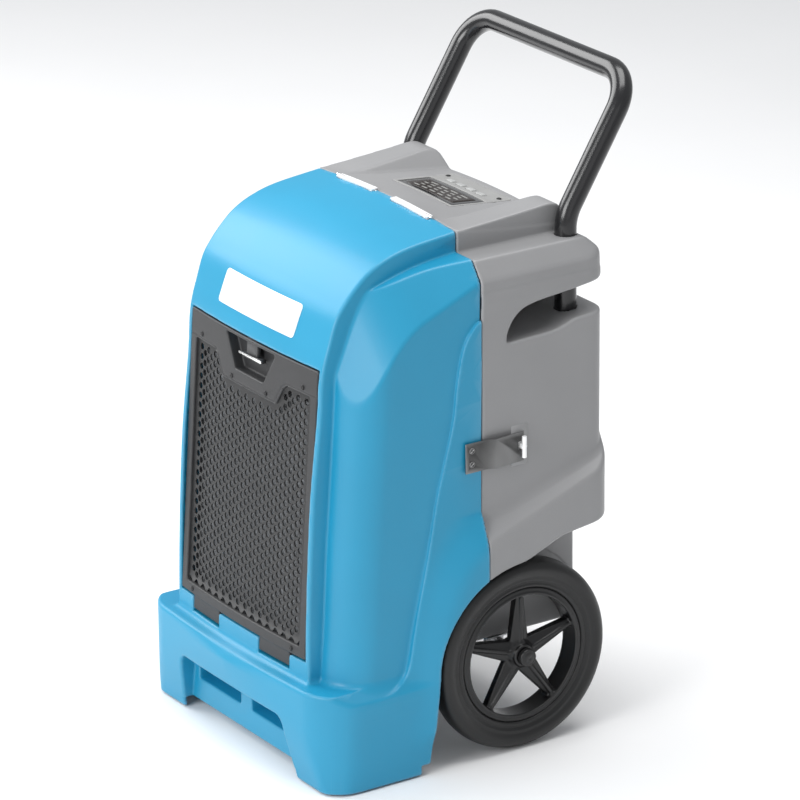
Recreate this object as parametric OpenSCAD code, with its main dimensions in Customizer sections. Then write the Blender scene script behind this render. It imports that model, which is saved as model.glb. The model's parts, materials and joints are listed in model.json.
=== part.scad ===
// Portable restoration dehumidifier on two wheels.
// +Z up, front (air intake) towards -Y, floor at z = 0, parting plane of the two
// shells at y = 0, machine symmetric about x = 0.  Millimetres.

/* [Casing] */
// Height of the casing at the parting plane
case_h = 687; // [680:1:694]
// Half width of the raised centre band
band_half = 156; // [152:1:158]
// Half width of the body sides
side_half = 209; // [207:1:211]
// Rear face of the casing
rear_y = 194; // [192:1:196]
// Plastic wall thickness
wall = 5; // [4:0.5:6]

/* [Wheels] */
// Outer diameter of the tyre
tyre_d = 254; // [250:1:256]
// Width of the tyre
tyre_w = 40; // [36:1:42]
// Distance of the tyre's middle plane from the centre
wheel_x = 202; // [200:1:203]
// Position of the axle behind the parting plane
axle_y = 58; // [56:1:60]
// Diameter of the axle rod
axle_d = 12; // [12:1:14]

/* [Handle] */
// Outer diameter of the handle tube
tube_d = 28; // [26:1:28]
// Half distance between the two legs
leg_x = 172; // [171:1:173]
// Straight length of the handle's sloping legs
straight_l = 129; // [120:1:131]

/* [Front door] */
// Half width of the grille door
door_half = 147; // [145:1:148]
// Height of the door
door_h = 378; // [374:1:380]
// Number of hole columns in the grille
grille_cols = 15; // [9:2:17]
// Number of hole rows in the grille
grille_rows = 14; // [8:2:16]

/* [Fan] */
// Diameter over the blade tips
fan_d = 236; // [220:2:240]
// Number of blades
fan_blades_n = 5; // [3:1:7]

/* [Hidden] */
$fn = 64;

blue = [0.31, 0.70, 0.90];
grey = [0.66, 0.66, 0.67];
dark = [0.27, 0.27, 0.28];
black = [0.08, 0.08, 0.09];
steel = [0.78, 0.79, 0.80];
copper = [0.72, 0.45, 0.30];

gap = 1;                       // half of the shadow gap between the shells
eps = 0.01;
tyre_r = tyre_d / 2;
axle_z = tyre_r;
arch_r = tyre_r + 4;           // wheel arch, struck from the axle
flare_half = 229;              // outside of the wheel arch lip
skirt_half = 222;              // outside of the base skirt
ledge_z = 660;                 // carrying shoulder beside the centre band
deck_z = 683;                  // flat top between the ridges
skirt_y = -256.5;              // foremost point of the base skirt
lean = 4;                      // the front face leans back by this angle
floor_z = 134;                 // underside of the rear housing
lower_half = 166;              // housing between the wheels
lower_rear_y = 172;
tube_r = tube_d / 2;
leg_y = 153.5;
elbow_r = 60;                  // gentle bend just above the shoulder
elbow_z = 665;
bend_r = 46;                   // corners of the handle bar
slant = 31.762;                // the handle leans back by this angle
hinge_y = -3;
hinge_z = 692;
hinge_r = 4.5;
hinge_in = 18.5;               // inner end of each hinge barrel
hinge_out = 106.5;
strap_z = 411;                 // height of the side latches
strap_t = 2;
stud_y = axle_y - 1;
bar_in = 217.6;                // inner side of the stud's crossbar
door_foot_z = 165;
door_foot_y = -225;
door_gap = 1.5;
foot_gap = 2.4;                // clears the door's lower edge as it tilts
pivot_up = -10;                // pivot line below the door's foot
pivot_in = 6;                  // and behind its face
tab_x = 81;                    // middle of each hinge tab
tab_half = 33;
header_low = 342;              // lower edge of the smooth header at the sides
header_mid = 312;              // and in the middle, below the finger recess
recess_deep = 16;
exhaust_z = 400;
exhaust_r = 122;
socket_z = 470;                // the handle legs stand on this level
bolt_z = 500;
plate_z = 141;                 // underside of the chassis plate
panel_z = deck_z + 0.4;
key_w = 14;
key_d = 8;
key_y = 121;
key_xs = [-33, -11, 11, 33];
comp_x = -78;
comp_y = 2;
comp_r = 58;
comp_z0 = 158;
comp_h = 226;
acc_x = 6;
coil_half = 132;
coil_z0 = 156;
coil_z1 = 508;
line_r = 4;
fan_y = 140;
shroud_y = 112;
hinge_pin_r = 2;
knuckle = (hinge_out - hinge_in) / 5;
rim_r = 82;
hub_half = 20;

// ---------- outline helpers ----------
function unit(v) = v / norm(v);
function left_of(v) = [-v[1], v[0]];
// Vertex b of an anticlockwise outline moved inwards by d from both its edges
function inset_vertex(a, b, c, d) =
    let (n1 = left_of(unit(b - a)), n2 = left_of(unit(c - b)))
    b + d * (n1 + n2) / (1 + n1 * n2);
function inset_path(p, d) =
    let (n = len(p))
    [for (k = [0 : n - 1]) inset_vertex(p[(k + n - 1) % n], p[k], p[(k + 1) % n], d)];
// Arc of radius r that rounds the corner at b, as steps + 1 points
function round_corner(a, b, c, r, steps) =
    let (u = unit(a - b), v = unit(c - b),
        half = acos(max(-1, min(1, u * v))) / 2,
        centre = b + unit(u + v) * r / sin(half),
        p0 = b + u * r / tan(half) - centre,
        turn = (180 - 2 * half) * sign(u[1] * v[0] - u[0] * v[1]))
    r < 0.05 ? [b]
    : [for (k = [0 : steps]) centre + spin(p0, turn * k / steps)];
function spin(p, t) = [p[0] * cos(t) - p[1] * sin(t), p[0] * sin(t) + p[1] * cos(t)];
// Anticlockwise outline of [x, y, radius] corners, inset by d
function rounded(pr, d = 0, steps = 8) =
    let (q = inset_path([for (c = pr) [c[0], c[1]]], d), n = len(q))
    [for (k = [0 : n - 1])
        each round_corner(q[(k + n - 1) % n], q[k], q[(k + 1) % n], max(0, pr[k][2] - d), steps)];

// Outline drawn as (y, z) and swept along x, centred
module along_x(w) {
    rotate([90, 0, 90])
        linear_extrude(w, center = true)
            children();
}
// Outline drawn as (x, z) and swept from y0 to y1
module along_y(y0, y1) {
    translate([0, y1, 0])
        rotate([90, 0, 0])
            linear_extrude(y1 - y0)
                children();
}
module both_sides() {
    children();
    mirror([1, 0, 0])
        children();
}
// Cylinder lying along x between x0 and x1
module rod_x(x0, x1, y, z, r) {
    translate([x0, y, z])
        rotate([0, 90, 0])
            cylinder(r = r, h = x1 - x0);
}
module rod_y(x, y0, y1, z, r) {
    translate([x, y0, z])
        rotate([-90, 0, 0])
            cylinder(r = r, h = y1 - y0);
}
module box(x0, x1, y0, y1, z0, z1) {
    translate([x0, y0, z0])
        cube([x1 - x0, y1 - y0, z1 - z0]);
}

// ---------- front shell forms; d is the inset from the outside ----------
// Centre band: flat top, large quarter round, front face leaning back
module band_form(d) {
    along_x(2 * (band_half - d))
        polygon(rounded([[40, 130, 0], [40, case_h + 3, 0], [0, case_h, 60],
            [-190, 664, 150], [-227, 130, 0]], d));
}
// The wings' creases fall towards the front
module crease_slope() {
    translate([0, 0, 640])
        rotate([11, 0, 0])
            translate([0, 0, -640])
                children();
}
// Side wings, stepped back from the band, with a sloping chamfer along the top
module wing_form(d) {
    intersection() {
        along_x(2 * (side_half + 4 - d))
            polygon(rounded([[40, 120, 0], [40, ledge_z, 0], [0, ledge_z, 60],
                [-141, 636, 25], [-188, 528, 0], [-225, 120, 0]], d));
        crease_slope()
            along_y(-260, 90)
                polygon(rounded([[-side_half, 60, 0], [side_half, 60, 0],
                    [side_half + 3, 590, 20], [side_half + 2, 640, 10],
                    [192, 664, 10], [-192, 664, 10], [-side_half - 2, 640, 10],
                    [-side_half - 3, 590, 20]], d));
        rotate([-lean, 0, 0])
            linear_extrude(700)
                polygon(rounded([[side_half + 4, 120, 0], [-side_half - 4, 120, 0],
                    [-side_half - 4, -220, 52], [side_half + 4, -220, 52]], d));
    }
}
// Base skirt with its bowed front, and the raised flank that sweeps up to the shoulder
module skirt_form(d) {
    intersection() {
        along_x(2 * (flare_half + 2))
            polygon(rounded([[-226, -20, 0], [40, -20, 0], [40, 587, 0], [0, 587, 0],
                [-30, 560, 30], [-44, 452, 60], [-104, 185, 60], [-118, 140, 20],
                [-226, 142, 0], [-251, 131, 4], [-259.6, 120, 5]], d));
        along_y(-300, 60)
            polygon(rounded([[-218, -20, 0], [218, -20, 0], [skirt_half, 124, 0],
                [flare_half, 180, 30], [flare_half, 296, 10], [213, 334, 30],
                [213, 640, 0], [-213, 640, 0], [-213, 334, 30], [-flare_half, 296, 10],
                [-flare_half, 180, 30], [-skirt_half, 124, 0]], d));
        linear_extrude(1400, center = true)
            polygon(rounded([[flare_half, 60, 0], [-flare_half, 60, 0],
                [-flare_half, -60, 40], [-skirt_half, -112, 40], [-skirt_half, -240, 62],
                [0, skirt_y - 3.6, 500], [skirt_half, -240, 62], [skirt_half, -112, 40],
                [flare_half, -60, 40]], d));
    }
}
module front_form(d) {
    band_form(d);
    wing_form(d);
    skirt_form(d);
}

// The plane of the front face; children are drawn as (x, height above the door's foot)
module on_door(depth, sink = 0) {
    translate([0, door_foot_y, door_foot_z])
        rotate([90 - lean, 0, 0])
            translate([0, 0, -depth - sink])
                linear_extrude(depth)
                    children();
}
module rect(x0, x1, y0, y1) {
    translate([x0, y0])
        square([x1 - x0, y1 - y0]);
}

module front_shell() {
    color(blue)
        difference() {
            union() {
                difference() {
                    front_form(0);
                    front_form(wall);
                    translate([0, 0, -30])
                        linear_extrude(162)
                            polygon(rounded([[210, 60, 0], [-210, 60, 0],
                                [-210, -216, 55], [210, -216, 55]]));
                }
                // solid behind the front notch
                intersection() {
                    box(-142, 142, skirt_y, -190, 14, 98);
                    front_form(0);
                }
                // frame that the door closes on
                on_door(24, 3)
                    difference() {
                        rect(-153, 153, -26, door_h + 12);
                        rect(-138, 138, 4, door_h - 4);
                    }
            }
            // parting plane
            box(-300, 300, -gap, 100, -50, 800);
            // door opening with notches for the two tabs
            on_door(14, -2)
                rect(-door_half - door_gap, door_half + door_gap, -foot_gap, door_h + door_gap);
            on_door(19, -3)
                for (s = [-1, 1])
                    rect(s * tab_x - tab_half - 1, s * tab_x + tab_half + 1, -22, 0);
            // pockets for the pivot pins, drilled along the pivot line
            for (s = [-1, 1])
                door_pivot()
                    rod_x(s * tab_x - 42, s * tab_x + 42, 0, 0, 2.5);
            // stepped underside: middle raised, corners carried lower
            box(-134, 134, -300, -20, -50, 14);
            box(-300, 300, -300, 60, -50, 3);
            box(-300, 300, -98, 60, -50, 14);
            // front notch and its two pockets
            along_y(-300, -220)
                polygon(rounded([[-128, -40, 0], [128, -40, 0], [120, 83, 14], [-120, 83, 14]]));
            along_y(-236, -198)
                for (s = [-1, 1])
                    translate([s * 64, 0])
                        polygon(rounded([[-51, 47, 3], [51, 47, 3], [51, 79, 6], [-51, 79, 6]]));
            // wheel arches
            both_sides() {
                rod_x(lower_half, 300, axle_y, axle_z, arch_r);
                translate([240, 0, 0])
                    along_x(140)
                        polygon([[-87, -20], [100, -20], [100, axle_z], [axle_y - arch_r, axle_z]]);
            }
            // slots for the hinge leaves, screw holes for the strap rivets
            both_sides() {
                box(hinge_in, hinge_out, hinge_y - hinge_r - 0.2, 10, hinge_z - 30, 720);
                rod_x(190, 230, -18, strap_z - 9, 2.1);
                rod_x(190, 230, -18, strap_z + 9, 2.1);
            }
        }
}
// Frame of the door's pivot line: x along it
module door_pivot() {
    translate([0, door_foot_y, door_foot_z])
        rotate([-lean, 0, 0])
            translate([0, pivot_in, pivot_up])
                children();
}

module door_pins() {
    color(steel)
        for (s = [-1, 1])
            door_pivot()
                rod_x(s * tab_x - 41.8, s * tab_x + 41.8, 0, 0, 2.48);
}

// ---------- grille door ----------
// Stepped lower edge of the header from right to left, lowered by d
function header_edge(half, d = 0) =
    [for (p = [[half, header_low], [84, header_low], [76, header_low - 6], [62, header_mid],
            [-62, header_mid], [-76, header_low - 6], [-84, header_low], [-half, header_low]])
        [p[0], p[1] - d]];
module header_outline() {
    polygon([each header_edge(door_half - 0.1), [-door_half + 0.1, door_h],
        [door_half - 0.1, door_h]]);
}
module recess_outline(d = 0) {
    polygon(rounded([[-34, 330, 4], [34, 330, 4], [50, 370, 3], [-50, 370, 3]], d));
}
module grille_frame() {
    color(dark)
        difference() {
            union() {
                on_door(10, 0.5)
                    difference() {
                        rect(-door_half, door_half, 0, door_h);
                        difference() {
                            rect(-134, 134, 14, 400);
                            header_outline();
                        }
                    }
                // hinge tabs
                on_door(9, 1.5)
                    for (s = [-1, 1])
                        rect(s * tab_x - tab_half, s * tab_x + tab_half, -18, 4);
                // tray of the finger recess
                on_door(recess_deep + 2.5, 2)
                    recess_outline(-2.5);
            }
            on_door(recess_deep + 2, -2)
                recess_outline();
            // slot for the sliding bolt
            on_door(7, 3.4)
                rect(-12.1, 12.1, 360, 400);
            for (s = [-1, 1])
                door_pivot()
                    rod_x(s * tab_x - 40, s * tab_x + 40, 0, 0, 2.55);
            // screw holes
            on_door(9, -1)
                door_screw_places()
                    circle(r = 1.7);
        }
}
module door_screw_places() {
    for (p = [[-118, 7], [118, 7], [-118, header_low + 8], [118, header_low + 8],
            [-40, header_mid + 7], [40, header_mid + 7]])
        translate(p)
            children();
}
module grille_mesh() {
    pitch_x = 264 / grille_cols;
    pitch_z = (header_mid - 22) / grille_rows;
    color(dark)
        on_door(2, 7.5)
            difference() {
                polygon([each header_edge(133.7, 0.3), [-133.7, 14.3], [133.7, 14.3]]);
                for (i = [0 : grille_cols - 1], j = [0 : 2 * grille_rows + 1]) {
                    x = (i - (grille_cols - 1) / 2) * pitch_x;
                    if ((i + j) % 2 == 0 && (j < 2 * grille_rows || abs(x) > 86))
                        translate([x, 24 + j * pitch_z / 2])
                            circle(r = pitch_x * 0.42, $fn = 6);
                }
            }
}
module grille_screws() {
    color(black)
        on_door(7, 0.4)
            door_screw_places()
                circle(r = 1.7);
}
module door_latch() {
    color(steel)
        union() {
            on_door(6, 4)
                rect(-11.9, 11.9, 362, door_h + 0.8);
            on_door(12, 1)
                rect(-24, 24, 355, 360.5);
            on_door(6, 4)
                rect(-11.9, 11.9, 358, 363);
        }
}
// Thin plate that follows the curve of the shell
module name_plate() {
    color("white")
        intersection() {
            difference() {
                band_form(-1.2);
                band_form(-0.02);
            }
            along_y(-260, -150)
                polygon(rounded([[-88, 567, 3], [86, 567, 3], [90, 609, 3], [-84, 609, 3]]));
        }
}
module air_filter() {
    color([0.55, 0.57, 0.58])
        on_door(12, 13.5)
            rect(-137.5, 137.5, 4.5, header_mid + 13);
}

// ---------- rear housing ----------
// Hand-hold seen from the side
module handhold_outline(d = 0) {
    polygon(rounded([[240, 562, 0], [240, 603, 0], [150, 601, 60], [56, 594, 28],
        [38, 549, 4], [104, 552, 20], [150, 562, 20]], d));
}
module plan_column(half, y1, r, d) {
    linear_extrude(1400, center = true)
        polygon(rounded([[half, -40, 0], [half, y1, r], [-half, y1, r], [-half, -40, 0]], d));
}
module shoulder_form(d) {
    intersection() {
        along_y(-40, 260)
            polygon(rounded([[-208, 597, 6], [208, 597, 6], [214, 606, 8], [213, 634, 10],
                [192, ledge_z, 8], [-192, ledge_z, 8], [-213, 634, 10], [-214, 606, 8]], d));
        plan_column(214, rear_y, 34, d);
    }
}
module body_form(d) {
    intersection() {
        along_y(-40, 260)
            polygon(rounded([[-lower_half, floor_z, 4], [lower_half, floor_z, 4],
                [lower_half, 296, 0], [208, 330, 0], [212, 480, 0], [214, 620, 0],
                [-214, 620, 0], [-212, 480, 0], [-208, 330, 0], [-lower_half, 296, 0]], d));
        plan_column(214, rear_y, 40, d);
        along_x(500)
            polygon(rounded([[-40, floor_z, 0], [lower_rear_y, floor_z, 6],
                [lower_rear_y, 290, 0], [rear_y, 300, 4], [rear_y, 640, 0], [-40, 640, 0]], d));
    }
}
module fender_form(d) {
    intersection() {
        along_x(2 * (flare_half - d))
            polygon(rounded([[-40, 226, 0], [0, 238, 0], [108, 277, 20], [190, 290, 4],
                [190, 366, 6], [0, 298, 0], [-40, 284, 0]], d));
        plan_column(flare_half, rear_y - 2, 12, d);
    }
    both_sides()
        hull() {
            translate([150, -20, 291 + d])
                rotate([20, 0, 0])
                    cube([flare_half - 150 - d, 206 - d, 1]);
            translate([150, -20, 304 - d])
                rotate([23, 0, 0])
                    cube([207 - 150 - d, 206 - d, 1]);
        }
}
module deck_form(d) {
    along_x(2 * (band_half - d))
        polygon(rounded([[-40, 640, 0], [158, 640, 0], [158, deck_z, 10], [0, deck_z, 0],
            [-40, deck_z, 0]], d));
    // side ridges that rise towards the rear
    both_sides()
        translate([(96 + band_half) / 2, 0, 0])
            along_x(band_half - 96 - 2 * d)
                polygon(rounded([[-40, 660, 0], [160, 660, 0], [161, 704, 10],
                    [108, 706, 20], [0, case_h, 30], [-40, case_h, 0]], d));
}
module rear_form(d) {
    deck_form(d);
    shoulder_form(d);
    body_form(d);
    fender_form(d);
}
module rear_housing() {
    color(grey)
        difference() {
            union() {
                difference() {
                    rear_form(0);
                    rear_form(wall);
                }
                // walls of the hand-holds
                both_sides()
                    intersection() {
                        translate([163, 0, 0])
                            along_x(96)
                                handhold_outline(-wall);
                        union() {
                            body_form(0);
                            shoulder_form(0);
                        }
                    }
                // sockets round the handle legs
                both_sides()
                    translate([leg_x, leg_y, socket_z - wall])
                        cylinder(r = tube_r + 3.5, h = 562 - socket_z + 2);
            }
            box(-300, 300, -100, gap, -50, 800);
            // hand-holds, open to the side and to the rear
            both_sides()
                translate([220, 0, 0])
                    along_x(200)
                        handhold_outline();
            // bores for the handle legs
            both_sides()
                translate([leg_x, leg_y, socket_z])
                    cylinder(r = tube_r + 0.1, h = 300);
            // air outlet
            rod_y(0, 150, 260, exhaust_z, exhaust_r);
            // control panel cut-out
            box(-66, 66, 52, 146, deck_z - 12, deck_z + 5);
            // wheel wells
            both_sides()
                difference() {
                    rod_x(lower_half, 300, axle_y, axle_z, arch_r);
                    box(100, lower_half + eps, -200, 300, 0, 400);
                }
            // cable and drain openings in the lower rear wall
            rod_y(-96, 150, 200, 214, 10.1);
            rod_y(96, 150, 200, 178, 8.1);
            both_sides() {
                box(hinge_in - 0.5, hinge_out + 0.5, 0, hinge_y + hinge_r + 0.2, 655, 720);
                rod_x(190, 230, stud_y, strap_z, 4.12);
                box(209.05, 230, stud_y - 13.05, stud_y + 12.05, strap_z - 28.05, strap_z + 28.05);
                // bolt holes through the sockets
                translate([leg_x, 0, 0])
                    rod_y(0, 120, 230, 500, 3.1);
            }
        }
}

// Ring-shaped section of the handle tube
module tube_section() {
    difference() {
        circle(r = tube_r);
        circle(r = tube_r - 2);
    }
}
module tube_bend(r, angle) {
    rotate_extrude(angle = angle)
        translate([r, 0])
            tube_section();
}
// Frame that stands on the end of the elbow, with z along the sloping leg
module above_elbow() {
    translate([leg_x, leg_y + elbow_r, elbow_z])
        rotate([-slant, 0, 0])
            translate([0, -elbow_r, 0])
                children();
}
module handle_tube() {
    color(black)
        difference() {
            union() {
                both_sides() {
                    translate([leg_x, leg_y, socket_z + 0.5])
                        linear_extrude(elbow_z - socket_z - 0.5)
                            tube_section();
                    translate([leg_x, leg_y + elbow_r, elbow_z])
                        rotate([90, 0, -90])
                            tube_bend(elbow_r, slant);
                    above_elbow() {
                        linear_extrude(straight_l)
                            tube_section();
                        translate([-bend_r, 0, straight_l])
                            rotate([90, 0, 0])
                                tube_bend(bend_r, 90);
                    }
                }
                // the bar
                above_elbow()
                    translate([bend_r - 2 * leg_x, 0, straight_l + bend_r])
                        rotate([0, 90, 0])
                            linear_extrude(2 * (leg_x - bend_r))
                                tube_section();
            }
            both_sides()
                rod_y(leg_x, 100, 220, bolt_z, 3.1);
        }
}
module handle_bolts() {
    color(steel)
        both_sides() {
            rod_y(leg_x, 127.4, rear_y + 0.2, bolt_z, 3);
            rod_y(leg_x, rear_y + 0.2, rear_y + 3, bolt_z, 6);
            rod_y(leg_x, 131.9, 135.9, bolt_z, 5.5);
        }
}

// ---------- chassis ----------
module chassis_base() {
    color(steel)
        difference() {
            union() {
                box(-150, 150, -186, 164, plate_z, plate_z + 3);
                box(-202, 202, -160, -80, plate_z, plate_z + 3);
                both_sides()
                    difference() {
                        box(184, 202, -160, -99, 13, plate_z + 1);
                        box(186, 200, -158, -101, 12, plate_z - 2);
                    }
            }
            // hole pattern for the compressor's grommets
            compressor_feet()
                translate([0, 0, 100])
                    cylinder(r = 5.1, h = 100);
        }
}
module front_feet() {
    color([0.10, 0.25, 0.31])
        both_sides()
            along_y(-176, -99)
                polygon(rounded([[188, 0, 3], [212, 0, 3], [212, 12.9, 1], [188, 12.9, 1]]));
}
module axle() {
    color(steel) {
        rod_x(-225, 225, axle_y, axle_z, axle_d / 2);
        both_sides() {
            rod_x(wheel_x + 20.3, wheel_x + 22, axle_y, axle_z, 8);
            rod_x(wheel_x - 21, wheel_x - 19.3, axle_y, axle_z, 9);
        }
    }
}
module axle_brackets() {
    color(steel)
        both_sides()
            difference() {
                union() {
                    box(110, 160, axle_y - 16, axle_y + 16, floor_z - 2, floor_z - 0.1);
                    box(148, 152, axle_y - 14, axle_y + 14, axle_z - 14, floor_z - 1);
                    box(114, 118, axle_y - 14, axle_y + 14, axle_z - 14, floor_z - 1);
                }
                rod_x(100, 170, axle_y, axle_z, axle_d / 2 + 0.05);
            }
}

// ---------- control panel ----------
module panel_bezel() {
    color([0.72, 0.72, 0.71])
        difference() {
            union() {
                box(-65.5, 65.5, 52.5, 145.5, panel_z - 3, panel_z);
                box(-63, 63, 54, 144, panel_z - 10, panel_z - 3);
            }
            box(-61, 61, 56, 142, panel_z - 11, panel_z - 3);
            translate([0, 0, panel_z - 1.6])
                linear_extrude(5)
                    lens_outline(-0.1);
            for (x = key_xs)
                box(x - key_w / 2 - 0.3, x + key_w / 2 + 0.3, key_y - key_d / 2 - 0.3,
                    key_y + key_d / 2 + 0.3, panel_z - 12, panel_z + 5);
            both_sides()
                translate([57, 132, panel_z - 12])
                    cylinder(r = 2.1, h = 20);
        }
}
module lens_outline(d = 0) {
    polygon(rounded([[-61, 57, 2], [61, 57, 2], [58, 108, 2], [-58, 108, 2]], d));
}
module display_lens() {
    color(black)
        translate([0, 0, panel_z - 1.6])
            linear_extrude(2)
                lens_outline();
}
module panel_screws() {
    color(black)
        both_sides()
            translate([57, 132, 0]) {
                translate([0, 0, panel_z - 9])
                    cylinder(r = 2, h = 9.1);
                translate([0, 0, panel_z + 0.05])
                    cylinder(r = 3.6, h = 1.2);
            }
}
module key_cap(k) {
    color([0.84, 0.85, 0.84])
        translate([key_xs[k], key_y, 0]) {
            box(-key_w / 2, key_w / 2, -key_d / 2, key_d / 2, panel_z - 4, panel_z + 1.4);
            translate([0, 0, panel_z - 7])
                cylinder(r = 2, h = 3.1);
        }
}
module key_power() {
    key_cap(0);
}
module key_mode() {
    key_cap(1);
}
module key_pump() {
    key_cap(2);
}
module key_defrost() {
    key_cap(3);
}
module control_box() {
    color([0.5, 0.5, 0.52])
        difference() {
            box(-66, 66, 24, 148, 596, 664);
            box(-64, 64, 26, 146, 598, 670);
        }
}
module circuit_board() {
    color([0.10, 0.40, 0.22]) {
        box(-58, 58, 34, 138, 610, 612);
        box(-50, -20, 44, 74, 612, 634);
        box(2, 44, 48, 72, 612, 628);
        for (x = [-40, -18, 4, 26])
            translate([x, 112, 612])
                cylinder(r = 7, h = 22);
        both_sides()
            for (y = [40, 132])
                translate([52, y, 598])
                    cylinder(r = 3, h = 12);
    }
}
module run_capacitor() {
    color([0.82, 0.82, 0.84])
        union() {
            rod_y(90, 30, 110, 628, 19);
            box(84, 96, 110, 118, 622, 634);
        }
}

// ---------- refrigeration circuit ----------
module compressor_feet() {
    for (t = [90, 210, 330])
        translate([comp_x + 74 * cos(t), comp_y + 74 * sin(t), 0])
            children();
}
module compressor() {
    color([0.12, 0.12, 0.13])
        translate([comp_x, comp_y, 0])
            union() {
                translate([0, 0, comp_z0])
                    rotate_extrude()
                        polygon(rounded([[0, 0, 0], [comp_r, 0, 26], [comp_r, comp_h, 40],
                            [0, comp_h, 0]]));
                // mounting lugs
                translate([0, 0, comp_z0 + 1])
                    difference() {
                        union() {
                            for (t = [90, 210, 330])
                                rotate([0, 0, t])
                                    translate([30, -14, 0])
                                        cube([56, 28, 4]);
                        }
                        for (t = [90, 210, 330])
                            rotate([0, 0, t])
                                translate([74, 0, -1])
                                    cylinder(r = 5.1, h = 8);
                    }
                translate([0, 0, comp_z0 + comp_h - 4])
                    cylinder(r = 20, h = 14);
                rotate([0, 0, -40])
                    translate([comp_r - 3, -8, comp_z0 + 60])
                        cube([8, 16, 12]);
            }
}
module compressor_grommets() {
    color(black)
        compressor_feet() {
            translate([0, 0, plate_z + 3.05])
                cylinder(r = 10, h = comp_z0 + 0.9 - plate_z - 3.05);
            translate([0, 0, plate_z - 2])
                cylinder(r = 5, h = 36);
        }
}
module accumulator() {
    color([0.12, 0.12, 0.13])
        translate([acc_x, comp_y, 210])
            rotate_extrude()
                polygon(rounded([[0, 0, 0], [21, 0, 14], [21, 140, 14], [0, 140, 0]]));
}
// Fin block with its serpentine of tube bends at both ends
module coil(y0, y1, fin) {
    depth = y1 - y0;
    rows = 7;
    pitch = (coil_z1 - coil_z0) / rows;
    color(fin)
        union() {
            for (k = [0 : 21]) {
                x = -coil_half + 4 + k * (2 * coil_half - 9.5) / 21;
                box(x, x + 1.5, y0, y1, coil_z0, coil_z1);
            }
            for (r = [0 : rows - 1])
                rod_x(-coil_half - 6, coil_half + 6, y0 + depth / 2,
                    coil_z0 + (r + 0.5) * pitch, 4.5);
        }
}
module evaporator() {
    coil(-162, -126, [0.80, 0.82, 0.84]);
}
module condenser() {
    coil(-114, -78, [0.72, 0.60, 0.48]);
}
module coil_frame() {
    color(steel)
        both_sides()
            difference() {
                box(coil_half + 6.2, coil_half + 8.2, -168, -72, plate_z + 3.05, coil_z1 + 8);
                box(coil_half + 5, coil_half + 12, -122, -118, coil_z0, coil_z1);
            }
}
// Pipe through right-angled corner points, with ball corners
module pipe(points) {
    for (k = [0 : len(points) - 2]) {
        a = points[k];
        v = points[k + 1] - a;
        translate(a) {
            rotate([0, acos(v[2] / norm(v)), atan2(v[1], v[0])])
                cylinder(r = line_r, h = norm(v));
        }
        if (k > 0)
            translate(a)
                sphere(r = line_r);
    }
}
module discharge_line() {
    color(copper)
        pipe([[comp_x, comp_y, comp_z0 + comp_h + 10.1], [comp_x, comp_y, 430],
            [comp_x, -56, 430], [118, -56, 430], [118, -56, 470], [118, -77.9, 470]]);
}
module suction_line() {
    color(copper)
        pipe([[acc_x, comp_y, 350.1], [acc_x, comp_y, 530], [acc_x, -60, 530],
            [acc_x, -144, 530], [acc_x, -144, 509]]);
}
module filter_drier() {
    color(copper)
        translate([60, -56, 0]) {
            translate([0, 0, 300])
                cylinder(r = 11, h = 70);
            translate([0, 0, 290])
                cylinder(r = 4, h = 90);
        }
}

// ---------- fan ----------
module fan_shroud() {
    color([0.35, 0.36, 0.38])
        difference() {
            union() {
                box(-150, 150, shroud_y, shroud_y + 3, 262, 542);
                rod_y(0, shroud_y, 187.5, exhaust_z, fan_d / 2 + 6);
            }
            rod_y(0, shroud_y - 10, 200, exhaust_z, fan_d / 2 + 3);
            box(-130, 130, 164, 200, 250, 304);
        }
}
module fan_motor() {
    color([0.20, 0.20, 0.22])
        difference() {
            union() {
                rod_y(0, 50, 118, exhaust_z, 42);
                rod_y(0, 118, 124, exhaust_z, 16);
            }
            rod_y(0, 90, 130, exhaust_z, 4.05);
        }
}
module motor_bracket() {
    color(steel)
        difference() {
            union() {
                rod_y(0, 70, 90, exhaust_z, 46);
                for (t = [45 : 90 : 315])
                    translate([0, 0, exhaust_z])
                        rotate([0, t, 0])
                            box(44, 138, 78, 82, -6, 6);
                for (t = [45 : 90 : 315])
                    translate([0, 0, exhaust_z])
                        rotate([0, t, 0])
                            box(134, 138, 78, shroud_y - 0.05, -6, 6);
            }
            rod_y(0, 60, 100, exhaust_z, 42.05);
        }
}
module fan_blades() {
    color([0.16, 0.16, 0.17])
        union() {
            rod_y(0, fan_y - 12, fan_y + 12, exhaust_z, 26);
            rod_y(0, 92, fan_y, exhaust_z, 4);
            for (k = [0 : fan_blades_n - 1])
                translate([0, fan_y, exhaust_z])
                    rotate([0, 360 * k / fan_blades_n, 0])
                        intersection() {
                            rotate([28, 0, 0])
                                along_z_blade();
                            rod_y(0, -20, 20, 0, fan_d / 2);
                        }
        }
}
module along_z_blade() {
    rotate([90, 0, 0])
        translate([0, 0, -1.25])
            linear_extrude(2.5)
                polygon(rounded([[20, -18, 0], [fan_d / 2 + 6, -34, 12],
                    [fan_d / 2 + 6, 34, 12], [20, 18, 0]]));
}
module exhaust_grille() {
    color(black)
        union() {
            difference() {
                rod_y(0, 188, 192, exhaust_z, exhaust_r - 0.2);
                rod_y(0, 180, 200, exhaust_z, exhaust_r - 6);
            }
            for (r = [30 : 15 : 105])
                difference() {
                    rod_y(0, 189, 191.5, exhaust_z, r + 1.25);
                    rod_y(0, 180, 200, exhaust_z, r - 1.25);
                }
            rod_y(0, 188.5, 192, exhaust_z, 18);
            for (t = [0 : 45 : 135])
                translate([0, 0, exhaust_z])
                    rotate([0, t, 0])
                        box(5 - exhaust_r, exhaust_r - 5, 188.5, 191.5, -1.5, 1.5);
        }
}

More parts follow.
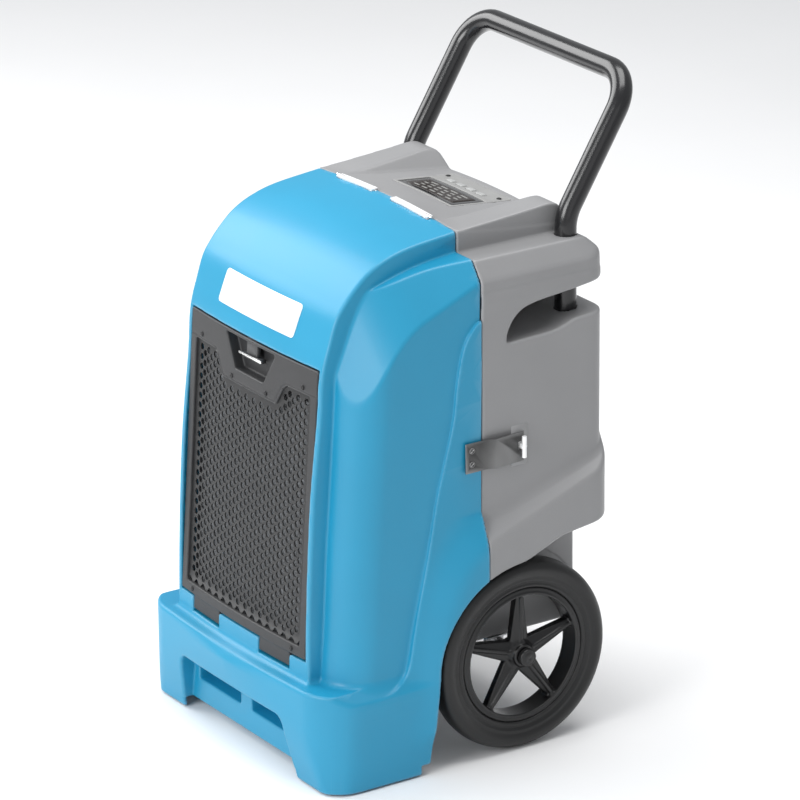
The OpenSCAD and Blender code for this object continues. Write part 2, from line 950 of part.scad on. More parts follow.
// ---------- condensate ----------
module drip_tray() {
    color([0.85, 0.86, 0.86])
        difference() {
            box(-136, 136, -170, -68, plate_z + 3.1, plate_z + 12);
            box(-134, 134, -168, -70, plate_z + 5, plate_z + 20);
        }
}
module pump_reservoir() {
    color([0.80, 0.82, 0.84])
        difference() {
            box(62, 146, -48, 34, plate_z + 3.1, 206);
            box(64.5, 143.5, -45.5, 31.5, plate_z + 5.5, 220);
        }
}
module pump_motor() {
    color([0.16, 0.22, 0.42])
        union() {
            box(60, 148, -50, 0, 206.05, 210);
            translate([112, -24, 210])
                cylinder(r = 21, h = 52);
            translate([112, -24, 160])
                cylinder(r = 5, h = 50);
        }
}
module pump_float() {
    color("orange")
        translate([84, 16, 168])
            difference() {
                cylinder(r = 12, h = 14);
                translate([0, 0, -1])
                    cylinder(r = 3.05, h = 20);
            }
}
module drain_fitting() {
    color(steel)
        difference() {
            union() {
                rod_y(96, 158, lower_rear_y + 1, 178, 8);
                rod_y(96, lower_rear_y + 0.1, lower_rear_y + 5, 178, 12);
                rod_y(96, lower_rear_y + 5, lower_rear_y + 24, 178, 5);
            }
            rod_y(96, 150, 200, 178, 3.2);
        }
}
module cable_gland() {
    color(black)
        difference() {
            union() {
                rod_y(-96, 158, lower_rear_y + 1, 214, 10);
                rod_y(-96, lower_rear_y + 0.1, lower_rear_y + 7, 214, 14);
                rod_y(-96, lower_rear_y + 7, lower_rear_y + 17, 214, 9);
            }
            rod_y(-96, 150, 200, 214, 4.5);
        }
}

// ---------- hinge on top ----------
// Knuckles numbered from 0 to 4 outwards; the front leaf has the odd ones
module knuckles(first) {
    for (k = [first : 2 : 4])
        difference() {
            rod_x(hinge_in + k * knuckle + 0.15, hinge_in + (k + 1) * knuckle - 0.15,
                hinge_y, hinge_z, hinge_r);
            rod_x(0, 200, hinge_y, hinge_z, hinge_pin_r + 0.05);
        }
}
module leaf(first, y0, y1, z0) {
    both_sides() {
        knuckles(first);
        difference() {
            union() {
                box(hinge_in, hinge_out, y0, y1, z0, hinge_z - hinge_r - 1);
                for (k = [first : 2 : 4])
                    box(hinge_in + k * knuckle + 0.15, hinge_in + (k + 1) * knuckle - 0.15,
                        y0, y1, hinge_z - hinge_r - 2, hinge_z);
            }
            rod_x(0, 200, hinge_y, hinge_z, hinge_pin_r + 0.05);
        }
    }
}
module hinge_rear_leaves() {
    color(steel)
        leaf(0, hinge_y + hinge_r - 1.4, hinge_y + hinge_r, 664);
}
module hinge_front_leaves() {
    color(steel)
        leaf(1, hinge_y - hinge_r, hinge_y - hinge_r + 1.4, 664);
}
module hinge_pins() {
    color(steel)
        both_sides()
            rod_x(hinge_in - 1, hinge_out + 1, hinge_y, hinge_z, hinge_pin_r);
}

// ---------- side latches ----------
module stud_plates() {
    color(steel)
        both_sides()
            difference() {
                box(209.1, 213.1, stud_y - 13, stud_y + 12, strap_z - 28, strap_z + 28);
                rod_x(200, 230, stud_y, strap_z, 4.12);
            }
}
module turn_stud() {
    color(steel)
        union() {
            rod_x(204, bar_in + 3, stud_y, strap_z, 4.05);
            rod_x(202, 204.6, stud_y, strap_z, 8);
            translate([bar_in + 3, stud_y, strap_z - 14])
                cylinder(r = 3, h = 28);
        }
}
module turn_stud_right() {
    turn_stud();
}
module turn_stud_left() {
    mirror([1, 0, 0])
        turn_stud();
}
// Strap seen from above, bent outwards over the seam, forked round the stud
module latch_straps() {
    color(steel)
        both_sides()
            difference() {
                translate([0, 0, strap_z - 20])
                    linear_extrude(39)
                        polygon([[213.3, -27], [213.3 + strap_t, -27], [213.3 + strap_t, 5],
                            [218 + strap_t, 15], [213.4 + strap_t, 60], [213.4, 60],
                            [218, 16], [213.3, 6]]);
                box(200, 230, stud_y - 6, 80, strap_z - 5, strap_z + 7);
                for (s = [-9, 9])
                    rod_x(200, 230, -18, strap_z + s, 2.1);
            }
}
module strap_rivets() {
    color(steel)
        both_sides()
            for (s = [-9, 9]) {
                rod_x(203, 215.4, -18, strap_z + s, 2);
                rod_x(215.35, 217, -18, strap_z + s, 4);
            }
}

// ---------- wheels ----------
module on_axle() {
    translate([wheel_x, axle_y, axle_z])
        rotate([90, 0, 90])
            children();
}
module tyre() {
    h = tyre_w / 2;
    color(black)
        on_axle()
            rotate_extrude()
                polygon(rounded([[rim_r + 0.1, -13, 2], [100, -h, 12], [118, -h, 14],
                    [tyre_r, -8, 20], [tyre_r, 8, 20], [118, h, 14], [100, h, 12],
                    [rim_r + 0.1, 13, 2]], 0, 4));
}
// Five spokes as one outline, one of them pointing up
function star_outline(valley_r, tip_r, tip_half) =
    [for (k = [0 : 4])
        each [spin([tip_r, -tip_half], 90 + 72 * k), spin([tip_r, tip_half], 90 + 72 * k),
            spin([valley_r, 0], 90 + 72 * k + 36)]];
module rim() {
    color(black)
        on_axle()
            difference() {
                union() {
                    rotate_extrude()
                        polygon([[rim_r - 7, -14], [rim_r, -14], [rim_r, 14], [rim_r - 7, 14]]);
                    translate([0, 0, -hub_half + 1])
                        cylinder(r = 17, h = 2 * hub_half - 1);
                    translate([0, 0, -4])
                        linear_extrude(7)
                            polygon(star_outline(22, rim_r - 5, 8));
                    translate([0, 0, 2])
                        linear_extrude(6)
                            polygon(star_outline(12, rim_r - 4, 3));
                    translate([0, 0, 7])
                        linear_extrude(6)
                            polygon(star_outline(10, 40, 3));
                }
                translate([0, 0, -40])
                    cylinder(r = axle_d / 2 + 0.05, h = 80);
            }
}
module hub_cap() {
    color(black)
        on_axle()
            difference() {
                translate([0, 0, hub_half + 0.05])
                    rotate_extrude()
                        polygon(rounded([[0, 0, 0], [12, 0, 0], [12, 8, 3], [0, 8, 0]]));
                translate([0, 0, hub_half - 1])
                    cylinder(r = 9, h = 6.5);
            }
}
module tyre_right() {
    tyre();
}
module rim_right() {
    rim();
}
module hub_cap_right() {
    hub_cap();
}
module tyre_left() {
    mirror([1, 0, 0])
        tyre();
}
module rim_left() {
    mirror([1, 0, 0])
        rim();
}
module hub_cap_left() {
    mirror([1, 0, 0])
        hub_cap();
}

rear_housing();
chassis_base();
front_feet();
handle_tube();
handle_bolts();
axle();
axle_brackets();
panel_bezel();
display_lens();
panel_screws();
compressor();
compressor_grommets();
accumulator();
evaporator();
condenser();
coil_frame();
filter_drier();
discharge_line();
suction_line();
fan_shroud();
fan_motor();
motor_bracket();
fan_blades();
exhaust_grille();
drip_tray();
pump_reservoir();
pump_motor();
pump_float();
drain_fitting();
control_box();
circuit_board();
run_capacitor();
cable_gland();
hinge_rear_leaves();
hinge_pins();
stud_plates();
front_shell();
hinge_front_leaves();
latch_straps();
strap_rivets();
name_plate();
door_pins();
air_filter();
grille_frame();
grille_mesh();
grille_screws();
door_latch();
tyre_left();
rim_left();
hub_cap_left();
tyre_right();
rim_right();
hub_cap_right();
turn_stud_left();
turn_stud_right();
key_power();
key_mode();
key_pump();
key_defrost();
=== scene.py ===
"""Looks of the portable dehumidifier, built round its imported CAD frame.

The moulded shells are signed distance functions (millimetres, |x| because the
machine is symmetric) turned into meshes; every other piece is swept, turned or
softened in mesh code.  Front towards -Y, floor at z = 0.
"""
import functools
import json
import math
import bmesh
import bpy
import numpy as np
from mathutils import Matrix, Vector


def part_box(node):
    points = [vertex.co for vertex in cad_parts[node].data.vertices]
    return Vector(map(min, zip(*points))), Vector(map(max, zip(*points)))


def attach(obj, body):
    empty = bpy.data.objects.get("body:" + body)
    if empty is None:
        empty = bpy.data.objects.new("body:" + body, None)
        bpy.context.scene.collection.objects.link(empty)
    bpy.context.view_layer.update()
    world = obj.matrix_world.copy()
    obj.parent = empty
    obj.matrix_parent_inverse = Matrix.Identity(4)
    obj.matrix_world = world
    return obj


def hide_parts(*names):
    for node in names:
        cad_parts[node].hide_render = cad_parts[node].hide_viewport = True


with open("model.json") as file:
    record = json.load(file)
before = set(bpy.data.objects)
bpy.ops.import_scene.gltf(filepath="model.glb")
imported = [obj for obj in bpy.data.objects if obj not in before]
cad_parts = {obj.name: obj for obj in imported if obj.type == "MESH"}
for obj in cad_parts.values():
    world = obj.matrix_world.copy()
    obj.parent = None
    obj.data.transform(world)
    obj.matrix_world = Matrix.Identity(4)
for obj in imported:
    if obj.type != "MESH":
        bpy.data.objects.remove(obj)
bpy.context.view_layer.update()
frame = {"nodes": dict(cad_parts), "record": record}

MM = 0.001
SCENE = bpy.context.scene


# ---- camera
def aim_camera():
    """The camera of the photo, as fitted to it."""
    azimuth, elevation, roll = math.radians(56.65), math.radians(20.58), math.radians(-0.575)
    back = Vector((math.sin(azimuth) * math.cos(elevation),
                   -math.cos(azimuth) * math.cos(elevation), math.sin(elevation)))
    right = Vector((math.cos(azimuth), math.sin(azimuth), 0))
    up = back.cross(right)
    across = right * math.cos(roll) + up * math.sin(roll)
    upward = -right * math.sin(roll) + up * math.cos(roll)
    data = bpy.data.cameras.new("camera")
    data.lens = 233.96
    data.sensor_width = 36
    data.clip_end = 60
    camera = bpy.data.objects.new("camera", data)
    SCENE.collection.objects.link(camera)
    turn = Matrix((across, upward, back)).transposed().to_4x4()
    camera.matrix_world = Matrix.Translation((5.18051, -3.39192, 2.74252)) @ turn
    SCENE.camera = camera


aim_camera()


# ---- materials
def noise(nodes, links, where, scale, detail):
    cloud = nodes.new("ShaderNodeTexNoise")
    cloud.inputs["Scale"].default_value = scale
    cloud.inputs["Detail"].default_value = detail
    links.new(where, cloud.inputs["Vector"])
    return cloud.outputs["Fac"]


def remap(nodes, links, value, span, onto):
    """The value with its span stretched onto another one."""
    scale = nodes.new("ShaderNodeMapRange")
    for socket, number in zip(("From Min", "From Max", "To Min", "To Max"), (*span, *onto)):
        scale.inputs[socket].default_value = number
    links.new(value, scale.inputs["Value"])
    return scale.outputs["Result"]


def material(name, colour, rough, grain, grain_size, spread, blotch, metal=0.0, wear=0.0,
             coat=0.0, rough_spread=0.08, specular=0.5, brushed=None):
    """Procedural finish: mottled colour, uneven gloss, fine bump, and raised edges painted paler (a
    painted highlight) or darker.
    """
    m = bpy.data.materials.new(name)
    m.use_nodes = True
    nodes, links = m.node_tree.nodes, m.node_tree.links
    shader = nodes["Principled BSDF"]
    where = nodes.new("ShaderNodeTexCoord").outputs["Object"]
    if brushed:
        stretch = nodes.new("ShaderNodeMapping")
        stretch.inputs["Scale"].default_value = brushed
        links.new(where, stretch.inputs["Vector"])
        where = stretch.outputs["Vector"]
    cloud = noise(nodes, links, where, blotch, 5)
    shade = remap(nodes, links, cloud, (0.3, 0.7), (1 - spread, 1 + spread))
    tint = nodes.new("ShaderNodeVectorMath")
    tint.operation = "SCALE"
    tint.inputs[0].default_value = colour
    links.new(shade, tint.inputs["Scale"])
    base = tint.outputs["Vector"]
    if wear:
        # raised edges get a painted highlight, paler, when the edge value is above 0, and are darkened
        # when it is below 0
        geometry = nodes.new("ShaderNodeNewGeometry")
        edge = remap(nodes, links, geometry.outputs["Pointiness"], (0.52, 0.66), (0, abs(wear)))
        edge_highlight_mix = nodes.new("ShaderNodeMix")
        edge_highlight_mix.data_type = "RGBA"
        links.new(edge, edge_highlight_mix.inputs["Factor"])
        links.new(base, edge_highlight_mix.inputs["A"])
        edge_highlight_mix.inputs["B"].default_value = (1, 1, 1, 1) if wear > 0 else (0.02, 0.02, 0.02, 1)
        base = edge_highlight_mix.outputs["Result"]
    links.new(base, shader.inputs["Base Color"])
    gloss = remap(nodes, links, cloud, (0, 1),
                  (max(0.02, rough - rough_spread), min(1, rough + rough_spread)))
    links.new(gloss, shader.inputs["Roughness"])
    if grain:
        bump = nodes.new("ShaderNodeBump")
        bump.inputs["Strength"].default_value = grain
        bump.inputs["Distance"].default_value = 0.0006
        fine = noise(nodes, links, where, grain_size, 3)
        links.new(fine, bump.inputs["Height"])
        links.new(bump.outputs["Normal"], shader.inputs["Normal"])
    for socket, value in (("Metallic", metal), ("Specular IOR Level", specular),
                          ("Coat Weight", coat), ("Coat Roughness", 0.12)):
        shader.inputs[socket].default_value = value
    return m


# colour, roughness, bump strength, bump scale, colour spread, blotch scale, and what else differs
SURFACES = {
    # the edge values paint highlights along raised edges; the keys' negative value darkens their edges
    # instead
    "blue_shell": ((0.011, 0.262, 0.445), 0.42, 0.10, 420, 0.035, 7, dict(wear=0.18, coat=0.05)),
    "grey_shell": ((0.262, 0.262, 0.266), 0.42, 0.12, 420, 0.04, 7, dict(wear=0.14)),
    "grille_plastic": ((0.029, 0.0295, 0.031), 0.52, 0.35, 1500, 0.12, 30, dict(wear=0.12)),
    "grille_sheet": ((0.011, 0.0112, 0.012), 0.55, 0.25, 1800, 0.14, 40, dict(wear=0.10)),
    "panel_plastic": ((0.29, 0.29, 0.285), 0.42, 0.3, 1400, 0.05, 25, dict(wear=0.15)),
    "key_plastic": ((0.37, 0.375, 0.37), 0.45, 0.2, 1600, 0.05, 40, dict(wear=-0.1)),
    "display_black": ((0.008, 0.008, 0.009), 0.10, 0.0, 900, 0.1, 30, dict(rough_spread=0.04, coat=1.0)),
    "plate_white": ((0.86, 0.87, 0.88), 0.30, 0.05, 600, 0.02, 20, dict(coat=0.3)),
    "handle_paint": ((0.006, 0.006, 0.007), 0.24, 0.12, 700, 0.15, 20, dict(coat=0.35, wear=0.05)),
    "bright_steel": ((0.80, 0.80, 0.79), 0.27, 0.12, 300, 0.06, 60, dict(metal=1, brushed=(1, 0.08, 1))),
    "fastener_steel": ((0.72, 0.72, 0.72), 0.24, 0.1, 900, 0.08, 80, dict(metal=1)),
    "zinc_plate": ((0.58, 0.59, 0.60), 0.40, 0.2, 500, 0.15, 60, dict(metal=1)),
    "black_screw": ((0.014, 0.014, 0.015), 0.32, 0.1, 900, 0.1, 90, dict(metal=0.3)),
    "black_wire": ((0.016, 0.016, 0.017), 0.34, 0.2, 900, 0.12, 60, dict(coat=0.2)),
    "tyre_rubber": ((0.0035, 0.0035, 0.0037), 0.38, 0.35, 1300, 0.2, 25, dict(wear=0.02)),
    "rim_plastic": ((0.004, 0.004, 0.0043), 0.34, 0.25, 1300, 0.15, 30, dict(wear=0.03)),
    "foot_rubber": ((0.010, 0.045, 0.075), 0.55, 0.4, 1200, 0.12, 30, {}),
    "compressor_black": ((0.020, 0.020, 0.022), 0.34, 0.3, 400, 0.12, 25, dict(coat=0.3)),
    "fin_aluminium": ((0.70, 0.72, 0.74), 0.36, 0.15, 800, 0.1, 40, dict(metal=1)),
    "copper_pipe": ((0.72, 0.36, 0.22), 0.28, 0.1, 500, 0.15, 50, dict(metal=1)),
    "brass_fitting": ((0.70, 0.52, 0.25), 0.28, 0.1, 700, 0.1, 60, dict(metal=1)),
    "dark_plastic": ((0.035, 0.036, 0.038), 0.45, 0.3, 1200, 0.12, 30, dict(wear=0.08)),
    "white_plastic": ((0.70, 0.71, 0.70), 0.40, 0.2, 1000, 0.04, 30, {}),
    "clear_plastic": ((0.62, 0.66, 0.70), 0.18, 0.05, 700, 0.05, 30, dict(coat=0.5)),
    "motor_blue": ((0.04, 0.07, 0.16), 0.38, 0.2, 900, 0.1, 30, {}),
    "float_orange": ((0.80, 0.22, 0.03), 0.40, 0.15, 900, 0.08, 40, {}),
    "board_green": ((0.02, 0.14, 0.06), 0.34, 0.1, 1400, 0.2, 90, {}),
    "gland_black": ((0.018, 0.018, 0.019), 0.42, 0.3, 1200, 0.12, 50, {}),
    "filter_fabric": ((0.20, 0.21, 0.22), 0.85, 0.9, 1500, 0.25, 220, dict(specular=0.2)),
    # the strap's large edge value paints bright highlights along its edges
    "latch_steel": ((0.055, 0.055, 0.055), 0.34, 0.15, 500, 0.12, 50, dict(metal=0.3, wear=0.5)),
    "hinge_steel": ((0.93, 0.93, 0.93), 0.38, 0.1, 600, 0.03, 60, dict(metal=0.25, brushed=(0.1, 1, 1))),
    "display_glow": ((0.24, 0.24, 0.23), 0.40, 0.0, 900, 0.15, 200, {}),
    "display_field": ((0.022, 0.016, 0.014), 0.25, 0.0, 900, 0.15, 200, {}),
}
FINISH = {name: material(name, *row, **rest) for name, (*row, rest) in SURFACES.items()}
SLOT_OF = {row["node"]: row["material_slot"] for row in frame["record"]["subparts"]}


# ---- piece makers
def add_piece(name, mesh, finish, body, nodes=(), smooth=True):
    """One visual piece on a body, standing where the CAD nodes were."""
    obj = bpy.data.objects.new(name, mesh)
    SCENE.collection.objects.link(obj)
    mesh.materials.clear()
    mesh.materials.append(FINISH[finish])
    for p in mesh.polygons:
        p.use_smooth = smooth
    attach(obj, body)
    if nodes:
        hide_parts(*nodes)


def mesh_from(name, verts, faces):
    mesh = bpy.data.meshes.new(name)
    mesh.from_pydata([tuple(v) for v in verts], [], faces)
    mesh.update()
    return mesh


def mesh_from_arrays(name, verts, quads):
    """Mesh from an (n, 3) and an (m, 4) array, in metres."""
    mesh = bpy.data.meshes.new(name)
    mesh.vertices.add(len(verts))
    mesh.vertices.foreach_set("co", verts.astype(np.float32).ravel())
    mesh.loops.add(quads.size)
    mesh.loops.foreach_set("vertex_index", quads.astype(np.int32).ravel())
    mesh.polygons.add(len(quads))
    mesh.polygons.foreach_set("loop_start", np.arange(0, quads.size, quads.shape[1],
                                                      dtype=np.int32))
    mesh.polygons.foreach_set("loop_total", np.full(len(quads), quads.shape[1], np.int32))
    mesh.polygons.foreach_set("use_smooth", np.ones(len(quads), bool))
    mesh.update(calc_edges=True)
    mesh.validate()
    return mesh


def modified(mesh, *modifiers):
    """The mesh with modifiers, given as (type, settings), baked in."""
    obj = bpy.data.objects.new("work", mesh)
    SCENE.collection.objects.link(obj)
    for kind, settings in modifiers:
        modifier = obj.modifiers.new(kind.lower(), kind)
        for setting, value in settings.items():
            setattr(modifier, setting, value)
    view = bpy.context.evaluated_depsgraph_get()
    result = bpy.data.meshes.new_from_object(obj.evaluated_get(view))
    bpy.data.objects.remove(obj)
    bpy.data.meshes.remove(mesh)
    return result


def bevelled(mesh, width, angle=30):
    """The mesh with its sharp edges rounded."""
    bevel = dict(width=width * MM, segments=2, limit_method="ANGLE",
                 angle_limit=math.radians(angle), harden_normals=False)
    return modified(mesh, ("BEVEL", bevel), ("WEIGHTED_NORMAL", dict(keep_sharp=False)))


def soften(node, finish, body, width):
    """A copy of a CAD node with its planar faces joined and its edges rounded."""
    mesh = frame["nodes"][node].data.copy()
    mesh.name = node + "_fine"
    bm = bmesh.new()
    bm.from_mesh(mesh)
    bmesh.ops.remove_doubles(bm, verts=bm.verts, dist=0.01 * MM)
    bmesh.ops.dissolve_limit(bm, angle_limit=math.radians(1), verts=bm.verts, edges=bm.edges)
    bm.to_mesh(mesh)
    bm.free()
    add_piece(node + "_fine", bevelled(mesh, width, 32), finish, body, [node])


def strips(rows, m, closed=False):
    """Quads between rows of m points round a closed ring; closed joins the last to the first."""
    return [(r * m + k, r * m + (k + 1) % m, (r + 1) % rows * m + (k + 1) % m, (r + 1) % rows * m + k)
            for r in range(rows if closed else rows - 1) for k in range(m)]


def sweep(path, ring, closed=False):
    """Vertices and faces of a ring of (u, v) points carried along a path of points (mm)."""
    pts = [Vector(p) for p in path]
    n, m, verts, last = len(pts), len(ring), [], None
    for i, p in enumerate(pts):
        a = pts[(i - 1) % n] if closed or i else p
        b = pts[(i + 1) % n] if closed or i < n - 1 else p
        ahead = (b - a).normalized()
        if last is None:
            guess = Vector((1, 0, 0)) if abs(ahead.x) < 0.9 else Vector((0, 1, 0))
            side = (guess - ahead * guess.dot(ahead)).normalized()
        else:
            side = (last - ahead * last.dot(ahead)).normalized()
        last = side
        other = ahead.cross(side)
        verts += [(p + side * u + other * v) * MM for u, v in ring]
    ends = [] if closed else [tuple(reversed(range(m))), tuple(range((n - 1) * m, n * m))]
    return verts, strips(n, m, closed) + ends


def circle(r, n=24):
    return [(r * math.cos(2 * math.pi * k / n), r * math.sin(2 * math.pi * k / n))
            for k in range(n)]


def turned(profile, centre, axis, steps):
    """Closed profile of (radius, height) points, turned about an axis through centre (mm)."""
    axis = Vector(axis).normalized()
    guess = Vector((0, 0, 1)) if abs(axis.z) < 0.9 else Vector((1, 0, 0))
    u = (guess - axis * guess.dot(axis)).normalized()
    w = axis.cross(u)
    verts = []
    for k in range(steps):
        t = 2 * math.pi * k / steps
        out = u * math.cos(t) + w * math.sin(t)
        verts += [(Vector(centre) + out * r + axis * h) * MM for r, h in profile]
    return verts, strips(steps, len(profile), True)


def joined(name, parts):
    """One mesh from several (verts, faces) pairs, its coincident points merged."""
    verts, faces = [], []
    for v, f in parts:
        base = len(verts)
        verts += list(v)
        faces += [tuple(base + i for i in face) for face in f]
    mesh = mesh_from(name, verts, faces)
    bm = bmesh.new()
    bm.from_mesh(mesh)
    bmesh.ops.remove_doubles(bm, verts=bm.verts, dist=0.002 * MM)
    bmesh.ops.dissolve_degenerate(bm, dist=0.001 * MM, edges=bm.edges)
    bmesh.ops.recalc_face_normals(bm, faces=bm.faces)
    bm.to_mesh(mesh)
    bm.free()
    return mesh


def add_parts(name, parts, finish, body, nodes=(), bevel=0.0):
    """One piece from (verts, faces) pairs, with its edges rounded by bevel millimetres."""
    mesh = joined(name, parts)
    if bevel:
        mesh = bevelled(mesh, bevel)
    add_piece(name, mesh, finish, body, nodes)


BLOCK_FACES = [(0, 1, 3, 2), (4, 6, 7, 5), (0, 4, 5, 1), (2, 3, 7, 6), (0, 2, 6, 4), (1, 5, 7, 3)]


def block(x0, x1, y0, y1, z0, z1):
    v = [Vector((x, y, z)) * MM for x in (x0, x1) for y in (y0, y1) for z in (z0, z1)]
    return v, BLOCK_FACES


# ---- signed distance surfaces
def smax(a, b, k):
    h = np.maximum(k - np.abs(a - b), 0)
    return np.maximum(a, b) + h * h / (4 * k)


def smin(a, b, k):
    return -smax(-a, -b, k)


def common(*forms):
    """What all the forms share, with sharp edges."""
    return functools.reduce(np.maximum, forms)


def less(form, k, *tool):
    """The form without what the tool's parts share; k rounds the new edges."""
    gone = -common(*tool)
    return smax(form, gone, k) if k else np.maximum(form, gone)


def unit(v):
    return v / np.linalg.norm(v)


def rounded(corners):
    """Outline from (u, v, radius) corners in order; arcs in steps of about 5 degrees."""
    p = [np.array(c[:2], float) for c in corners]
    out = []
    for k, (_, _, r) in enumerate(corners):
        a, b, c = p[k - 1], p[k], p[(k + 1) % len(p)]
        if r < 0.05:
            out.append(b)
            continue
        u, v = unit(a - b), unit(c - b)
        half = math.acos(max(-1, min(1, float(u @ v)))) / 2
        centre = b + unit(u + v) * r / math.sin(half)
        start = b + u * r / math.tan(half) - centre
        turn = (math.pi - 2 * half) * math.copysign(1, u[1] * v[0] - u[0] * v[1])
        steps = max(2, int(abs(turn) / 0.08))
        for s in range(steps + 1):
            t = turn * s / steps
            out.append(centre + np.array([start[0] * math.cos(t) - start[1] * math.sin(t),
                                          start[0] * math.sin(t) + start[1] * math.cos(t)]))
    return out


def flowing(points, per=8):
    """Catmull-Rom curve through points."""
    p = [np.array(q, float) for q in points]
    p = [2 * p[0] - p[1]] + p + [2 * p[-1] - p[-2]]
    out = []
    for k in range(1, len(p) - 2):
        for s in range(per):
            t = s / per
            out.append(0.5 * (2 * p[k] + (p[k + 1] - p[k - 1]) * t
                              + (2 * p[k - 1] - 5 * p[k] + 4 * p[k + 1] - p[k + 2]) * t * t
                              + (3 * p[k] - p[k - 1] - 3 * p[k + 1] + p[k + 2]) * t ** 3))
    out.append(p[-2])
    return out


class Outline:
    """Signed distance to a closed 2-D outline, read from a table."""

    def __init__(self, points, step=1.5, pad=10.0):
        p = np.array(points, float)
        self.lo, self.step = p.min(0) - pad, step
        n = np.ceil((p.max(0) + pad - self.lo) / step).astype(int) + 2
        u = (self.lo[0] + step * np.arange(n[0])).astype(np.float32)[:, None]
        v = (self.lo[1] + step * np.arange(n[1])).astype(np.float32)[None, :]
        far = np.full(n, 1e9, np.float32)
        inside = np.zeros(n, bool)
        for a, b in zip(p, np.roll(p, -1, 0)):
            e = b - a
            length = float(e @ e)
            if length < 1e-9:
                continue
            du, dv = u - np.float32(a[0]), v - np.float32(a[1])
            t = np.clip((du * np.float32(e[0]) + dv * np.float32(e[1])) / np.float32(length), 0, 1)
            far = np.minimum(far, (du - t * np.float32(e[0])) ** 2
                             + (dv - t * np.float32(e[1])) ** 2)
            if a[1] != b[1]:
                rows = ((a[1] > v) != (b[1] > v))
                inside ^= rows & (du < dv * np.float32(e[0] / e[1]))
        self.table = np.where(inside, -1, 1) * np.sqrt(far)
        self.n = n

    def __call__(self, u, v):
        fu = (u - self.lo[0]) / self.step
        fv = (v - self.lo[1]) / self.step
        cu, cv = np.clip(fu, 0, self.n[0] - 1.01), np.clip(fv, 0, self.n[1] - 1.01)
        i, j = cu.astype(np.int32), cv.astype(np.int32)
        a, b = cu - i, cv - j
        t = self.table
        near = (t[i, j] * (1 - a) * (1 - b) + t[i + 1, j] * a * (1 - b)
                + t[i, j + 1] * (1 - a) * b + t[i + 1, j + 1] * a * b)
        return near + self.step * np.hypot(fu - cu, fv - cv)


def slab(v, lo, hi):
    return np.maximum(lo - v, v - hi)


def gradient(f, p, mirror=True, h=0.6):
    """Slope of f at each point, from the four corners of a tetrahedron round it."""
    out = np.zeros_like(p)
    for corner in ((1, -1, -1), (-1, -1, 1), (-1, 1, -1), (1, 1, 1)):
        q = p + np.array(corner) * h
        x = np.abs(q[:, 0]) if mirror else q[:, 0]
        out += np.array(corner) * f(x, q[:, 1], q[:, 2])[:, None]
    return out / (4 * h)


def towards(f, p, reach, mirror=True, h=0.6):
    """Newton step that brings each point onto f = 0, at most reach long."""
    d = f(np.abs(p[:, 0]) if mirror else p[:, 0], p[:, 1], p[:, 2])
    g = gradient(f, p, mirror, h)
    move = -d[:, None] * g / np.maximum((g * g).sum(1), 0.2)[:, None]
    size = np.linalg.norm(move, axis=1, keepdims=True)
    return move * np.minimum(1, reach / np.maximum(size, 1e-9))


CORNERS = [(a, b, c) for a in (0, 1) for b in (0, 1) for c in (0, 1)]


def sampled(f, x, y, z, mirror):
    """Values of f on a grid, closed along its outer faces."""
    v = np.empty((len(x), len(y), len(z)), np.float32)
    yy, zz = (g.ravel() for g in np.meshgrid(y, z, indexing="ij"))
    for i, xi in enumerate(x):
        here = abs(xi) if mirror else xi
        v[i] = f(np.full(yy.size, here), yy, zz).reshape(len(y), len(z))
    v[:, 0, :] = v[:, -1, :] = 1
    v[:, :, 0] = v[:, :, -1] = 1
    v[-1] = 1
    if not mirror:
        v[0] = 1
    return v


def cell_points(v):
    """The cells that the surface crosses, a point amid the crossings of each, their numbers."""
    s = v < 0
    cells = np.zeros([n - 1 for n in s.shape], np.int8)
    for a, b, c in CORNERS:
        cells += s[a:a + cells.shape[0], b:b + cells.shape[1], c:c + cells.shape[2]]
    live = (cells > 0) & (cells < 8)
    index = np.full(cells.shape, -1, np.int32)
    where = np.argwhere(live)
    index[live] = np.arange(len(where))
    total, count = np.zeros((len(where), 3)), np.zeros(len(where))
    for axis, ahead in enumerate(np.eye(3, dtype=int)):
        for corner in [c for c in CORNERS if c[axis] == 0]:
            a = where + np.array(corner)
            b = a + ahead
            va, vb = v[tuple(a.T)], v[tuple(b.T)]
            cross = (va < 0) != (vb < 0)
            t = np.where(cross, va / np.where(cross, va - vb, 1), 0)
            total += np.where(cross[:, None], np.array(corner) + t[:, None] * ahead, 0)
            count += cross
    return where, where + total / count[:, None], index


def cell_quads(s, index):
    """One quad for each grid edge that the surface crosses, facing outwards."""
    quads = []
    for axis in range(3):
        others = [k for k in range(3) if k != axis]
        a, b = (s[tuple(span if k == axis else slice(1, -1) for k in range(3))]
                for span in (slice(0, -1), slice(1, None)))
        edge = np.argwhere(a != b)
        inside = a[tuple(edge.T)]
        base = edge.copy()
        base[:, others] += 1
        around = []
        for shift in ((0, 0), (1, 0), (1, 1), (0, 1)):
            cell = base.copy()
            cell[:, others] -= shift
            around.append(index[tuple(cell.T)])
        around = np.array(around).T
        flip = inside if axis == 1 else ~inside
        around[flip] = around[flip][:, ::-1]
        quads.append(around)
    return np.concatenate(quads)


